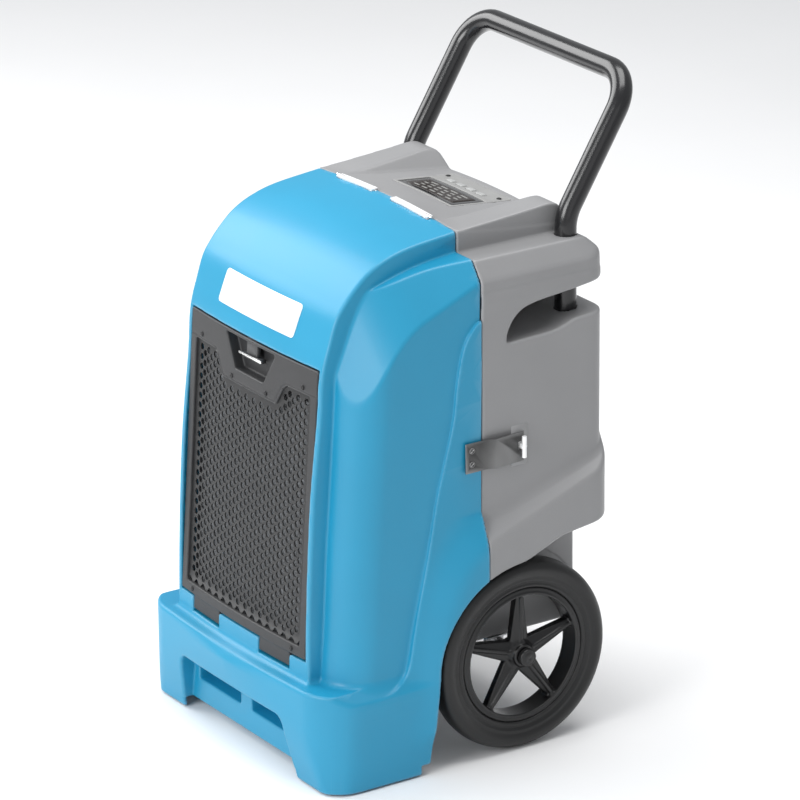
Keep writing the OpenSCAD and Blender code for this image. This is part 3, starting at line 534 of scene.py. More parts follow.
def skin(f, lo, hi, step, mirror=True):
    """Surface of f < 0 as vertices and quads, by surface nets.  With mirror set, f takes |x|
    and the half at x < 0 is a mirrored copy."""
    x = (np.arange(int((hi[0] - (0 if mirror else lo[0])) / step) + 3) - 0.5) * step
    if not mirror:
        x = x + lo[0]
    y = lo[1] + np.arange(int((hi[1] - lo[1]) / step) + 3) * step
    z = lo[2] + np.arange(int((hi[2] - lo[2]) / step) + 3) * step
    v = sampled(f, x, y, z, mirror)
    where, place, index = cell_points(v)
    quads = cell_quads(v < 0, index)
    p = np.array([x[0], y[0], z[0]]) + place * step
    centre = (where[:, 0] == 0) & mirror
    p[centre, 0] = 0
    for _ in range(3):
        move = towards(f, p, 0.45 * step, mirror)
        move[centre, 0] = 0
        p = p + move
    if mirror:
        n = len(p)
        copy = np.arange(n)
        copy[~centre] = n + np.arange((~centre).sum())
        p = np.concatenate([p, p[~centre] * np.array([-1, 1, 1])])
        quads = np.concatenate([quads, copy[quads][:, ::-1]])
    return p, quads


def moulded(name, f, lo, hi, step, thin, to_frame=None):
    """Mesh of a symmetric moulding, thinned to a share of its triangles."""
    p, quads = skin(f, lo, hi, step)
    q = p if to_frame is None else to_frame(p)
    mesh = mesh_from_arrays(name, q * MM, quads)
    return modified(mesh, ("DECIMATE", dict(ratio=thin)))


def set_normals(mesh, f, h=0.7):
    """Puts a thinned mesh back on its surface and takes its normals from there."""
    co = np.empty(len(mesh.vertices) * 3, np.float32)
    mesh.vertices.foreach_get("co", co)
    p = co.reshape(-1, 3).astype(float) / MM
    p = p + towards(f, p, 0.8, h=h)
    mesh.vertices.foreach_set("co", (p * MM).astype(np.float32).ravel())
    mesh.update()
    g = gradient(f, p, h=h)
    g /= np.maximum(np.linalg.norm(g, axis=1, keepdims=True), 1e-6)
    mesh.normals_split_custom_set_from_vertices([tuple(n) for n in g])


# ---- dimensions
BOW = 7.0                             # the front and the deck bulge this much at the middle
BAND = 156.0                          # half width of the raised centre band
WALL = 5.0
GAP = 0.45                            # each shell stands back this much from the parting plane
AXLE_Y, AXLE_Z = 58.0, 127.0
ARCH = 131.0                          # radius of the wheel arch
WELL_X = 166.0                        # inner side of the wheel wells
WHEEL_X = 202.0                       # middle of each wheel
LEAN = math.radians(4)                # the door leans back
FOOT_Y, FOOT_Z = -225.0, 165.0        # foot of the door's face
DOOR_HALF, DOOR_H = 147.0, 378.0
LEG_X, LEG_Y = 172.0, 153.5           # handle legs
TUBE_R = 13.97
SLANT = math.radians(31.762)          # the handle leans back above its elbows
OUTLET_Z, OUTLET_R = 400.0, 122.0     # air outlet
STUD_Y, STUD_Z = 57.0, 411.0          # turning studs
BOLT_Z = 500.0                        # bolts through the handle legs
FLARE_X = 228.3                       # the wheel flares end here
PAD_X0, PAD_X1, PAD_Z = 20.8, 103.2, 685.0   # seats of the hinges
DECK_Y = [-60, 0, 20, 57, 132, 159]
DECK_Z = [693, 686.8, 684, 678.8, 671, 668.8]
SHELL_STEP, SHELL_SHARE = 2.4, 0.42   # grid of the shells, share of their triangles kept


def bow(x):
    """How far the front and the deck bulge at x."""
    return BOW * (1 - np.minimum(np.abs(x) / BAND, 1) ** 2)


def door_coords(x, y, z):
    """Depth behind the door's face and height along it."""
    y = y + bow(x)
    depth = math.cos(LEAN) * (y - FOOT_Y) - math.sin(LEAN) * (z - FOOT_Z)
    height = math.sin(LEAN) * (y - FOOT_Y) + math.cos(LEAN) * (z - FOOT_Z)
    return depth, height


def door_place(p):
    """Points given as (x, depth, height) on the bowed door, in the frame's millimetres."""
    x, depth, height = p[:, 0], p[:, 1], p[:, 2]
    y = FOOT_Y + math.cos(LEAN) * depth + math.sin(LEAN) * height - bow(x)
    z = FOOT_Z - math.sin(LEAN) * depth + math.cos(LEAN) * height
    return np.stack([x, y, z], 1)


# ---- front shell: outlines as seen from the side (y, z) unless said otherwise
BAND_EDGE = [(0, 687), (-67, 680), (-103, 671), (-130, 658), (-150, 641), (-166, 623),
             (-178, 605), (-188, 576), (-196, 550), (-200, 524), (-203, 481), (-214, 384),
             (-220, 296), (-224, 207), (-226, 130)]
band_side = Outline([(40, 130), (40, 690)] + flowing(BAND_EDGE))
WING_TOP = [(0, 661), (-49, 656), (-85, 649), (-120, 639), (-150, 629)]
wing_top = Outline([(40, 100), (40, 662)] + flowing(WING_TOP) + [(-262, 590), (-262, 100)])
# how far forward and how wide the wings and the raised flank are at each height
WING_FRONT_Z = [120, 202, 309, 396, 478, 543, 600, 670]
WING_FRONT_Y = [-209, -202, -196, -189, -183, -179, -176, -172]
SIDE_Z = [120, 327, 482, 590, 700]
SIDE_X = [206.5, 206, 207, 208.6, 211]
RAISED_Z = [120, 327, 400, 482, 590, 700]
RAISED_X = [214, 210.5, 210.5, 211.5, 213.3, 214]
# from above (x, y)
wing_plan = Outline(rounded([(260, 80, 0), (-260, 80, 0), (-260, -185, 50), (210, -185, 50),
                             (210, 80, 0)]))
# front edges of the raised flank and of the wheel flare
SWOOSH = [(40, 600), (0, 588), (-16, 575), (-25, 560), (-31, 540), (-37, 506), (-42, 463),
          (-55, 410), (-66, 368), (-76, 316), (-85, 273), (-97, 222), (-104, 189), (-112, 151),
          (-123, 133), (-137, 122), (-156, 115), (-178, 111)]
flank_side = Outline(flowing(SWOOSH) + [(-178, -40), (80, -40), (80, 600)])
RIDGE = [(60, 318), (30, 309), (-3, 297), (-20, 286), (-41, 261), (-56, 228), (-67, 195),
         (-76, 148), (-82, 110)]
flare_side = Outline(flowing(RIDGE) + [(-84, 60), (80, 60), (80, 318)])
# base skirt from the side, from the front (x, z) and from above (x, y)
skirt_side = Outline(rounded([(60, -30, 0), (60, 141, 0), (-226, 143, 6), (-248, 133, 6),
                              (-255.5, 121, 6), (-226, -30, 0)]), 1.0)
skirt_half = Outline(rounded([(-60, -30, 0), (218, -30, 0), (222, 113, 4), (220.5, 121, 5),
                              (205, 134, 0), (-60, 140, 0)]), 1.0)
skirt_plan = Outline(rounded([(222, 80, 0), (-240, 80, 0), (-240, -256, 0), (0, -256, 0),
                              (222, -240, 62)]))
cavity_plan = Outline(rounded([(-20, 60, 0), (203, 60, 0), (203, -216, 50), (-20, -216, 0)]))
# notch between the feet and pocket above it, from the front (x, z)
notch = Outline(rounded([(-140, -60, 0), (134, -60, 0), (134, 3, 0), (119, 84, 14),
                         (-140, 84, 0)]), 1.0)
pocket = Outline(rounded([(13, 47, 4), (113, 47, 4), (113, 79, 7), (13, 79, 7)]), 1.0)
FACET_1 = (0.781, -0.255, 0.571, 527.0)     # chamfer along the shoulder
FACET_2 = (0.558, -0.766, 0.3175, 395.5)    # its turn round the front corner


def plane(facet, x, y, z):
    """Distance from a facet given by its normal and its distance from the origin."""
    a, b, c, d = facet
    return a * x + b * y + c * z - d


def front_outside(x, y, z):
    """Outside of the cover: centre band, wings, raised flank, wheel flare and base skirt."""
    band = smax(band_side(y, z) - bow(x), x - BAND, 4)
    side = np.interp(z, SIDE_Z, SIDE_X)
    front = np.interp(z, WING_FRONT_Z, WING_FRONT_Y)
    wing = wing_plan(x - side + 210, y - front - 185)
    wing = smax(wing, wing_top(y, z), 3)
    facets = smax(plane(FACET_1, x, y, z), plane(FACET_2, x, y, z), 26)
    wing = np.maximum(smax(wing, facets, 2.5), 135 - x)
    out = smin(band, wing, 3)
    raised = np.interp(z, RAISED_Z, RAISED_X)
    flank = smax(smax(flank_side(y, z), x - raised, 2), wing_top(y, z), 3)
    flank = smax(flank, plane(FACET_1, x, y, z) - 2, 2)
    out = smin(out, flank, 2)
    q = flare_side(y, z)
    flare = smax((x - 225.5 + 0.40 * q) * 0.93, x - FLARE_X, 4)
    flare = smax(flare, flank_side(y, z), 8)
    flare = smax(flare, z - 330, 5)
    out = smin(out, flare, 6)
    skirt = smax(smax(skirt_side(y, z), skirt_half(x, z), 4), skirt_plan(x, y), 5)
    return smin(out, skirt, 9)


def door_ring(x, depth, height):
    """Frame inside the cover that the door closes onto."""
    window = np.maximum(x - 138, slab(height, 4, DOOR_H - 10))
    return common(slab(depth, 3, 27), x - 153, slab(height, -26, DOOR_H + 12), -window)


def front_shell(x, y, z):
    out = front_outside(x, y, z)
    shell = less(np.maximum(out, -(out + WALL)), 0, cavity_plan(x, y), slab(z, -30, 122))
    # solid behind the pockets of the skirt
    behind = common(slab(x, -142, 142), slab(y, -270, -190), slab(z, 14, 98))
    shell = np.minimum(shell, np.maximum(behind, out))
    # door frame, opening and the two notches for the door's tabs
    depth, height = door_coords(x, y, z)
    shell = np.minimum(shell, np.maximum(door_ring(x, depth, height), out))
    shell = less(shell, 2.2, slab(depth, -30, 12), x - DOOR_HALF - 1.6,
                 slab(height, -2.4, DOOR_H + 1.6))
    shell = less(shell, 2.2, slab(depth, -30, 16.5), slab(x, 47, 115), slab(height, -22, 2))
    # underside between and behind the feet, notch and pockets
    shell = less(shell, 3, z - 14, x - 134)
    shell = smax(shell, 2.2 - z, 2)
    shell = less(shell, 3, z - 14, -98 - y)
    shell = less(shell, 4, smax(notch(x, z), slab(y, -300, -222), 3))
    shell = less(shell, 2.5, smax(pocket(x, z), slab(y, -300, -199), 2))
    # wheel arch and the straight cut below it
    arch = np.maximum(np.hypot(y - AXLE_Y, z - AXLE_Z) - ARCH, WELL_X - x)
    below = common(slab(z, -40, AXLE_Z), -86 + 0.10 * z - y, 170 - x)
    shell = less(shell, 3.5, np.minimum(arch, below))
    # parting plane, with the seats of the hinges sunk into the top
    shell = smax(shell, y + GAP, 1.0)
    return less(shell, 0, slab(x, PAD_X0, PAD_X1), -7.9 - y, PAD_Z - z)


def make_front_shell():
    mesh = moulded("front_cover", front_shell, (0, -262, -3), (233, 2, 699), SHELL_STEP,
                   SHELL_SHARE)
    set_normals(mesh, front_shell)
    add_piece("front_cover", mesh, "blue_shell", "cover", ["front_shell"])


# ---- rear housing
hand_hold = Outline(flowing([(38, 551), (39, 560), (43, 570), (50, 580), (62, 589), (80, 594),
                             (105, 597), (136, 600), (170, 604), (260, 612)])
                    + [(260, 563), (172, 563)] + flowing([(160, 563), (140, 561), (122, 555),
                                                          (104, 551.5), (70, 550), (42, 549)]))
shoulder_section = Outline(rounded([(-60, 597, 0), (211, 597, 2), (214, 606, 3), (213, 634, 4),
                                    (193, 660, 4), (-60, 661, 0)]))
rear_plan = Outline(rounded([(-230, -40, 0), (214, -40, 0), (214, 194, 36), (-230, 194, 0)]))
shoulder_side = Outline(rounded([(-60, 590, 0), (188, 590, 10), (191, 612, 20), (188, 640, 26),
                                 (166, 662, 22), (-60, 662, 0)]))
body_section = Outline(rounded([(-60, 134, 0), (166, 134, 10), (166, 292, 0), (208, 326, 0),
                                (212, 482, 0), (213.5, 620, 0), (-60, 620, 0)]))
body_side = Outline(rounded([(-60, 134, 0), (172, 134, 8), (172, 286, 14), (194, 302, 8),
                             (194, 640, 0), (-60, 640, 0)]))
fender_side = Outline(rounded([(-60, 222, 0), (0, 239, 0), (69, 263, 60), (112, 281, 30),
                               (192, 291, 5), (192, 420, 0), (-60, 420, 0)]))
deck_side = Outline([(-60, 640), (159, 640)] + rounded([(159, 650, 0), (159, 668.8, 6), (132, 671, 60),
                                                        (57, 678.6, 80), (0, 686.6, 60),
                                                        (-60, 693, 0)])[:-1] + [(-60, 693)])
ridge_side = Outline(flowing([(-50, 684), (0, 687), (60, 691), (112, 695), (135, 697), (148, 695.5),
                              (156, 690), (160, 676)]) + [(161, 650), (-50, 650)])
panel_cut = Outline(rounded([(-80, 52, 0), (66, 52, 3), (66, 146, 3), (-80, 146, 0)]), 1.0)


def deck_z(x, y):
    """Height of the deck, which falls towards the rear and is crowned across."""
    return np.interp(y, DECK_Y, DECK_Z) + bow(x)


def rear_outside(x, y, z):
    """Outside of the housing: deck, ridges, shoulders, body and wheel fenders."""
    deck = smax(deck_side(y, z) - bow(x), x - BAND, 4)
    foot = 107 - 0.115 * (y - 24)
    inner = 0.69 * (z - 686.5 + 0.105 * y - 1.05 * (x - foot))
    ridge = smax(smax(ridge_side(y, z), inner, 3), x - BAND, 2.5)
    out = smin(deck, ridge, 3)
    shoulder = smax(smax(shoulder_section(x, z), rear_plan(x, y), 6), shoulder_side(y, z), 6)
    out = smin(out, shoulder, 3)
    body = smax(smax(body_section(x, z), rear_plan(x, y), 6), body_side(y, z), 5)
    out = smin(out, body, 3)
    rise = (22 - 0.045 * y) / 18
    top = 296 + 0.37 * y + (226 - x) * rise
    slope = np.hypot(1, rise)
    fender = smax(fender_side(y, z), (z - top) / slope, 3)
    fender = smax(fender, x - FLARE_X, 4)
    fender = smax(fender, rear_plan(x - 15, y + 2), 5)
    return smin(out, fender, 7)


def rear_housing(x, y, z):
    out = rear_outside(x, y, z)
    shell = np.maximum(out, -(out + WALL))
    # hand-holds with their walls, and the sockets of the handle legs
    hold = hand_hold(y, z)
    shell = np.minimum(shell, common(hold - WALL, 115 - x, out))
    leg = np.hypot(x - LEG_X, y - LEG_Y)
    shell = np.minimum(shell, np.maximum(leg - 17.5, slab(z, 465, 563)))
    shell = less(shell, 4, hold, 120 - x)
    shell = less(shell, 0, leg - 14.3, 470 - z)
    # air outlet, control panel and wheel wells
    shell = less(shell, 3, np.hypot(x, z - OUTLET_Z) - OUTLET_R, 150 - y)
    shell = less(shell, 1.0, panel_cut(x, y), 660 - z)
    shell = less(shell, 2.5, np.hypot(y - AXLE_Y, z - AXLE_Z) - ARCH, WELL_X - x)
    # holes of the studs and the handle bolts
    shell = less(shell, 0, np.hypot(y - STUD_Y, z - STUD_Z) - 4.3, 190 - x)
    shell = less(shell, 0, np.hypot(x - LEG_X, z - BOLT_Z) - 3.2, 130 - y)
    # parting plane, with the seats of the hinges sunk into the top
    shell = smax(shell, GAP - y, 1.0)
    return less(shell, 0, slab(x, PAD_X0, PAD_X1), y - 1.7, PAD_Z - z)


def make_rear_housing():
    mesh = moulded("rear_cabinet", rear_housing, (0, 0, 131), (233, 199, 711), SHELL_STEP,
                   SHELL_SHARE)
    set_normals(mesh, rear_housing)
    add_piece("rear_cabinet", mesh, "grey_shell", "chassis", ["rear_housing"])


# ---- grille door
DOOR_SCREWS = ((118, 7), (118, 350), (40, 319))
HEADER_X, HEADER_H = (62, 76, 84), (312, 336, 342)     # the step in the header's lower edge
header_area = Outline([(160, 400), (-160, 400), (-160, 342)]
                      + [(-x, h) for x, h in zip(HEADER_X[::-1], HEADER_H[::-1])]
                      + list(zip(HEADER_X, HEADER_H)) + [(160, 342)], 1.0)
recess_area = Outline(rounded([(-33, 331, 4), (33, 331, 4), (57, 373.5, 2), (-57, 373.5, 2)]), 0.8)


def door_frame(x, depth, height):
    """The grille's frame in door coordinates."""
    plate = smax(slab(depth, 0.5, 9.5), smax(x - DOOR_HALF, slab(height, 0, DOOR_H), 3), 1.6)
    window = smax(x - 134, smax(14 - height, -header_area(x, height), 1.5), 4)
    out = less(plate, 1.4, window)
    tabs = smax(slab(depth, 1.5, 10), np.maximum(slab(x, 48, 114), slab(height, -18, 4)), 1.6)
    out = smin(out, tabs, 1.0)
    # tray and recess for the finger, with the slot of the bolt
    tray = smax(recess_area(x, height) - 2.4, slab(depth, 2, 18.5), 1.5)
    out = smin(out, tray, 1.0)
    out = less(out, 2.2, smax(recess_area(x, height), slab(depth, -20, 16), 2.5))
    out = less(out, 0, slab(depth, 3.4, 10.4), x - 12.3, slab(height, 360, 400))
    # shallow groove that sets the header off, and the bores of the hinge pins
    groove = np.abs(header_area(x, height) + 3.2) - 0.7
    out = less(out, 0.8, groove, depth - 1.1)
    return less(out, 0, np.hypot(depth - 6, height + 10) - 2.6, slab(x, 41, 121))


def make_door():
    mesh = moulded("door_frame", door_frame, (0, -1, -21), (149, 20, 381), 1.6, 0.45, door_place)
    add_piece("door_frame", evened(mesh), "grille_plastic", "grille_door", ["grille_frame"])


def make_sheet():
    """Perforated sheet: one six-sided cell round each hole, plain cells along the edges."""
    pitch_x, pitch_h, hole = 8.75, 13.0, 4.9
    face_d, back_d = 4.2, 6.2
    cell = [(6.79, 0), (1.96, 6.5), (-1.96, 6.5), (-6.79, 0), (-1.96, -6.5), (1.96, -6.5)]
    verts, faces, number = [], [], {}

    def loop(points, depth):
        """Numbers of the points at a depth, held inside the window."""
        found = []
        for u, h in points:
            u, h = max(-133.8, min(133.8, u)), max(14.2, h)
            key = (round(u, 2), depth, round(h, 2))
            if key not in number:
                number[key] = len(verts)
                verts.append((u, depth, h))
            found.append(number[key])
        return found

    for i in range(-16, 17):
        for j in range(28):
            cx, ch = i * pitch_x, 20 + j * pitch_h + (pitch_h / 2 if i % 2 else 0)
            edge = float(np.interp(abs(cx), HEADER_X, HEADER_H))
            if ch > edge + 12 or abs(cx) > 140:
                continue
            rim = [(cx + u, ch + v) for u, v in cell]
            if not (22 <= ch <= edge - 7 and abs(cx) <= 128):
                for depth, turn in ((face_d, 1), (back_d, -1)):
                    face = list(dict.fromkeys(loop(rim, depth)[::turn]))
                    if len(face) > 2:
                        faces.append(face)
                continue
            ring = [(cx + u, ch + v) for u, v in circle(hole, 6)]
            front, back, f_ring, b_ring = (loop(points, depth) for points in (rim, ring)
                                           for depth in (face_d, back_d))
            for k in range(6):
                m = (k + 1) % 6
                faces.append([front[k], front[m], f_ring[m], f_ring[k]])
                faces.append([b_ring[k], b_ring[m], back[m], back[k]])
                faces.append([f_ring[k], f_ring[m], b_ring[m], b_ring[k]])
    mesh = mesh_from("door_sheet", door_place(np.array(verts)) * MM, faces)
    bm = bmesh.new()
    bm.from_mesh(mesh)
    bmesh.ops.remove_doubles(bm, verts=bm.verts, dist=0.01 * MM)
    # close the sheet along its outline
    bmesh.ops.bridge_loops(bm, edges=[e for e in bm.edges if len(e.link_faces) == 1])
    bmesh.ops.recalc_face_normals(bm, faces=bm.faces)
    bm.to_mesh(mesh)
    bm.free()
    add_piece("door_sheet", mesh, "grille_sheet", "grille_door", ["grille_mesh"], smooth=False)


def evened(mesh):
    """The mesh with its normals weighted by the size of its faces."""
    return modified(mesh, ("WEIGHTED_NORMAL", dict(keep_sharp=False, weight=60)))


# ---- small pieces
def on_front(points, level):
    """(x, z) points laid on the front cover, level millimetres proud of it."""
    x, z = points[:, 0], points[:, 1]
    y = np.full(len(x), -190.0)
    for _ in range(30):
        y = y + front_outside(np.abs(x), y, z)
    p = np.stack([x, y, z], 1)
    g = gradient(front_outside, p)
    return p + g / np.linalg.norm(g, axis=1, keepdims=True) * level


def spaced(outline, step=6.0):
    """The same closed outline with its points at most step millimetres apart."""
    points = []
    for a, b in zip(outline, outline[1:] + outline[:1]):
        n = max(1, math.ceil(math.dist(a, b) / step))
        points += [tuple(a[i] + (b[i] - a[i]) * k / n for i in (0, 1)) for k in range(n)]
    return points


def fan_plate(outline, place, levels, rings=9):
    """Thin plate with a rounded rim.  place(points, level) puts (u, v) points at a level;
    levels runs from the back face to the front face as (level, inset) pairs."""
    edge = np.array(spaced([tuple(p) for p in outline]), float)
    middle = 0.5 * (edge.min(0) + edge.max(0))
    n = len(edge)
    verts, faces = [], []

    def ring(scale, level):
        verts.extend(place(middle + (edge - middle) * scale, level) * MM)
        return len(verts) - n

    def band(a, b):
        faces.extend((a + k, a + (k + 1) % n, b + (k + 1) % n, b + k) for k in range(n))

    reach = np.linalg.norm(edge - middle, axis=1).max()
    scales = [k / rings for k in range(1, rings)]
    loops = [ring(k, levels[0][0]) for k in scales]
    loops += [ring(1 - inset / reach, level) for level, inset in levels]
    loops += [ring(k, levels[-1][0]) for k in reversed(scales)]
    for a, b in zip(loops, loops[1:]):
        band(a, b)
    for end, level in ((loops[0], levels[0][0]), (loops[-1], levels[-1][0])):
        verts.append(place(middle[None, :], level)[0] * MM)
        faces.extend((end + k, end + (k + 1) % n, len(verts) - 1) for k in range(n))
    return verts, faces


def make_name_plate():
    outline = rounded([(-88, 567, 5), (86, 567, 5), (90, 609, 5), (-84, 609, 5)])
    part = fan_plate(outline, on_front, ((-0.6, 0), (0.6, 0), (1.1, 0.6)), rings=14)
    add_parts("name_label", [part], "plate_white", "cover", ["name_plate"])


def dome(radius, height, centre, axis, slot):
    """Rounded screw or rivet head standing on a surface, with a short shank below."""
    profile = [(0.02, -2.0), (radius * 0.6, -2.0), (radius * 0.6, -0.2), (radius, -0.2),
               (radius, height * 0.25), (radius * 0.86, height * 0.7), (radius * 0.55, height * 0.94),
               (radius * 0.25, height - slot), (0.02, height - slot)]
    return turned(profile, centre, axis, 28)


def make_door_screws():
    parts = []
    for x, h in [(s * x, h) for s in (-1, 1) for x, h in DOOR_SCREWS]:
        at = door_place(np.array([[x, 0.35, h]]))[0]
        parts.append(dome(3.4, 1.5, at, (0, -math.cos(LEAN), math.sin(LEAN)), slot=0.5))
    add_parts("door_screws", parts, "black_screw", "grille_door", ["grille_screws"])


def make_bolt():
    """Sliding bolt: dark body with a bright lip."""
    def slab_at(x0, x1, d0, d1, h0, h1):
        v = [door_place(np.array([[x, d, h]]))[0] * MM for x in (x0, x1) for d in (d0, d1)
             for h in (h0, h1)]
        return v, BLOCK_FACES

    body = [slab_at(-11.8, 11.8, 4.1, 9.9, 357, 378.6), slab_at(-21, 21, 3.2, 12.6, 351, 356.4)]
    add_parts("bolt_body", body, "dark_plastic", "door_bolt", ["door_latch"], 0.8)
    lip = slab_at(-26, 26, 0.9, 3.1, 353.4, 356.6)
    add_parts("bolt_lip", [lip], "bright_steel", "door_bolt", bevel=0.5)


def make_hinges():
    """Bright strips with their barrels along the seam, and the front leaves under them."""
    strip = rounded([(-8.2, 0.2, 0.3), (1.6, 0.2, 0.3), (1.6, 2.4, 0.9), (-8.2, 2.4, 0.9)])
    barrel = [(y - 3.1, z - 1.8) for y, z in circle(4.3, 20)]
    parts, flaps = [], []
    for s in (-1, 1):
        for ring, x0, x1 in ((strip, 21.0, 102.6), (barrel, 22.0, 101.6)):
            n, verts = len(ring), []
            for x in [x0 + (x1 - x0) * k / 6 for k in range(7)]:
                z0 = 686.8 + float(bow(x))
                verts += [Vector((s * x, y, z0 + z)) * MM for y, z in ring]
            ends = [tuple(range(n)), tuple(range(6 * n, 7 * n))]
            parts.append((verts, strips(7, n) + ends))
        flaps.append(block(s * 26, s * 98, -10.2, -8.9, 672, 684))
    add_parts("hinge_barrels", parts, "hinge_steel", "chassis", ["hinge_rear_leaves"])
    add_parts("hinge_flaps", flaps, "hinge_steel", "cover", ["hinge_front_leaves"], 0.4)


def handle_path():
    """Centre line of the bent tube from its left foot to its right foot (mm)."""
    turn, bend, straight, foot, elbow = 60.0, 46.0, 129.0, 470.7, 665.0
    side = [(LEG_Y, foot), (LEG_Y, 560), (LEG_Y, elbow - 30)]
    for k in range(9):
        t = SLANT * k / 8
        side.append((LEG_Y + turn * (1 - math.cos(t)), elbow + turn * math.sin(t)))
    y0, z0 = side[-1]
    up = (math.sin(SLANT), math.cos(SLANT))
    half = [(-LEG_X, y, z) for y, z in side]
    half += [(-LEG_X, y0 + up[0] * d, z0 + up[1] * d) for d in (40, 90, straight)]
    for k in range(1, 13):
        t = math.pi / 2 * k / 12
        along = straight + bend * math.sin(t)
        half.append((-LEG_X + bend * (1 - math.cos(t)), y0 + up[0] * along, z0 + up[1] * along))
    half.append((-60, half[-1][1], half[-1][2]))
    return half + [(-x, y, z) for x, y, z in reversed(half)]


def make_handle():
    tube = sweep(handle_path(), circle(TUBE_R, 40))
    add_parts("handle_bar", [tube], "handle_paint", "chassis", ["handle_tube"])


# ---- wheels
SIDES = (("left", -1), ("right", 1))
TYRE_HALF = [(90.2, 13.0), (92.5, 15.0), (94.6, 15.4), (96.2, 14.2), (98.4, 14.4), (100.2, 16.6),
             (102.4, 17.3), (104.2, 16.6), (106.5, 17.4), (110.0, 19.2), (114.0, 19.7),
             (118.5, 18.6), (122.3, 15.9), (124.9, 12.2), (126.3, 7.6), (126.9, 3.0)]


def rim_form(a, u, v):
    """Spoked rim in wheel coordinates: a along the axle (outwards), u up, v across."""
    r = np.hypot(u, v)
    angle = np.mod(np.arctan2(v, u) + math.pi / 5, 2 * math.pi / 5) - math.pi / 5
    along, across = r * np.cos(angle), np.abs(r * np.sin(angle))
    ring = smax(slab(r, 81.5, 90.0), np.abs(a) - 13.8, 2)
    lip = smax(slab(r, 80.8, 84.5), np.abs(a) - 15.2, 2)
    width = 14.5 - 0.135 * (along - 14)
    roof = a - 9.5 + 0.40 * across - 0.02 * (85 - along)
    spoke = smax(smax(across - width, roof, 2.0), -a - 4, 2)
    spoke = smax(spoke, slab(along, 4, 84), 1)
    rib = smax(smax(across - 2.4, slab(a, -2, 11.6), 1.5), slab(along, 4, 83), 1)
    hub = smax(r - 15, slab(a, -19.2, 17.5), 3)
    boss = smax(r - 18, slab(a, -8, 12), 4)
    out = smin(smin(ring, lip, 1.5), smin(spoke, rib, 1.5), 4)
    out = smin(out, smin(hub, boss, 3), 4)
    return np.maximum(out, 6.05 - r)


def make_rims():
    p, quads = skin(rim_form, (-22, -93, -93), (20, 93, 93), 1.7, mirror=False)
    for side, s in SIDES:
        place = np.stack([s * (WHEEL_X + p[:, 0]), AXLE_Y + s * p[:, 2], AXLE_Z + p[:, 1]], 1)
        mesh = mesh_from_arrays("spokes_" + side, place * MM, quads)
        bm = bmesh.new()
        bm.from_mesh(mesh)
        bmesh.ops.recalc_face_normals(bm, faces=bm.faces)
        bm.to_mesh(mesh)
        bm.free()
        add_piece("spokes_" + side, mesh, "rim_plastic", "wheel_" + side, ["rim_" + side])


def make_tyres():
    profile = TYRE_HALF + [(r, -h) for r, h in reversed(TYRE_HALF)]
    for side, s in SIDES:
        ring = turned(profile, (s * WHEEL_X, AXLE_Y, AXLE_Z), (s, 0, 0), 120)
        add_parts("tread_" + side, [ring], "tyre_rubber", "wheel_" + side, ["tyre_" + side])


def make_hub_caps():
    cap = [(0.02, 1.2), (9.4, 1.2), (9.6, 0.1), (11.9, 0.1), (11.9, 4.4), (11.2, 6.4), (9.4, 7.3),
           (8.6, 6.9), (7.8, 7.3), (4.0, 7.9), (0.02, 8.0)]
    for side, s in SIDES:
        inner = min(abs(corner[0]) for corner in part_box("hub_cap_" + side)) / MM
        dust_cap = turned(cap, (s * inner, AXLE_Y, AXLE_Z), (s, 0, 0), 48)
        add_parts("dust_cap_" + side, [dust_cap], "rim_plastic", "wheel_" + side,
                  ["hub_cap_" + side])


# ---- control panel
def on_deck(p, level):
    """(x, y) points laid on the sloping, crowned deck, level millimetres above it."""
    z = deck_z(p[:, 0], p[:, 1]) + level
    return np.stack([p[:, 0], p[:, 1], z], 1)


def deck_plate(u0, u1, v0, v1, radius, levels, rings=9):
    outline = rounded([(u0, v0, radius), (u1, v0, radius), (u1, v1, radius), (u0, v1, radius)])
    return fan_plate(outline, on_deck, levels, rings)


def panel_form(x, y, level):
    """Panel in deck coordinates, with its openings for the lens, keys and screws."""
    plate = smax(smax(x - 65.4, slab(y, 52.6, 145.4), 3), slab(level, -5, 0.1), 0.6)
    lens = smax(x - 62, slab(y, 57, 108.5), 3)
    keys = np.maximum(np.minimum(np.abs(x - 11), np.abs(x - 33)) - 7.3, slab(y, 116.7, 125.3))
    screw = np.hypot(x - 57, y - 132) - 2.15
    return np.maximum(plate, -np.minimum(np.minimum(lens, keys), screw))


def make_panel():
    mesh = moulded("panel_frame", panel_form, (0, 51, -7), (68, 148, 2), 1.0, 0.4,
                   lambda p: on_deck(p[:, :2], p[:, 2]))
    add_piece("panel_frame", evened(mesh), "panel_plastic", "chassis", ["panel_bezel"])
    glass = deck_plate(-61.7, 61.7, 57.3, 108.2, 3, ((-3, 0), (-0.9, 0), (-0.6, 0.8)))
    add_parts("display_glass", [glass], "display_black", "chassis", ["display_lens"])
    field = deck_plate(-52, 52, 64, 101, 2, ((-0.59, 0), (-0.42, 0)))
    add_parts("display_field", [field], "display_field", "chassis")


def make_display_bars():
    """Generic read-out: rows of plain bars, no characters."""
    bars = []
    for row, (y, count, wide) in enumerate(((71, 5, 12), (79, 6, 9), (87, 6, 9), (94.5, 4, 15))):
        pitch = 88 / count
        for k in range(count):
            x = -44 + pitch * (k + 0.5) + (2 if row % 2 else -2)
            bars.append(deck_plate(x - wide / 2, x + wide / 2, y - 1.5, y + 1.5, 0.8,
                                   ((-0.41, 0), (-0.2, 0)), 2))
    add_parts("display_bars", bars, "display_glow", "chassis")


def make_panel_screws():
    screws = [dome(3.5, 1.3, on_deck(np.array([[s * 57.0, 132.0]]), 0.1)[0], (0, 0, 1), slot=0.5)
              for s in (-1, 1)]
    add_parts("panel_screw_heads", screws, "black_screw", "chassis", ["panel_screws"])


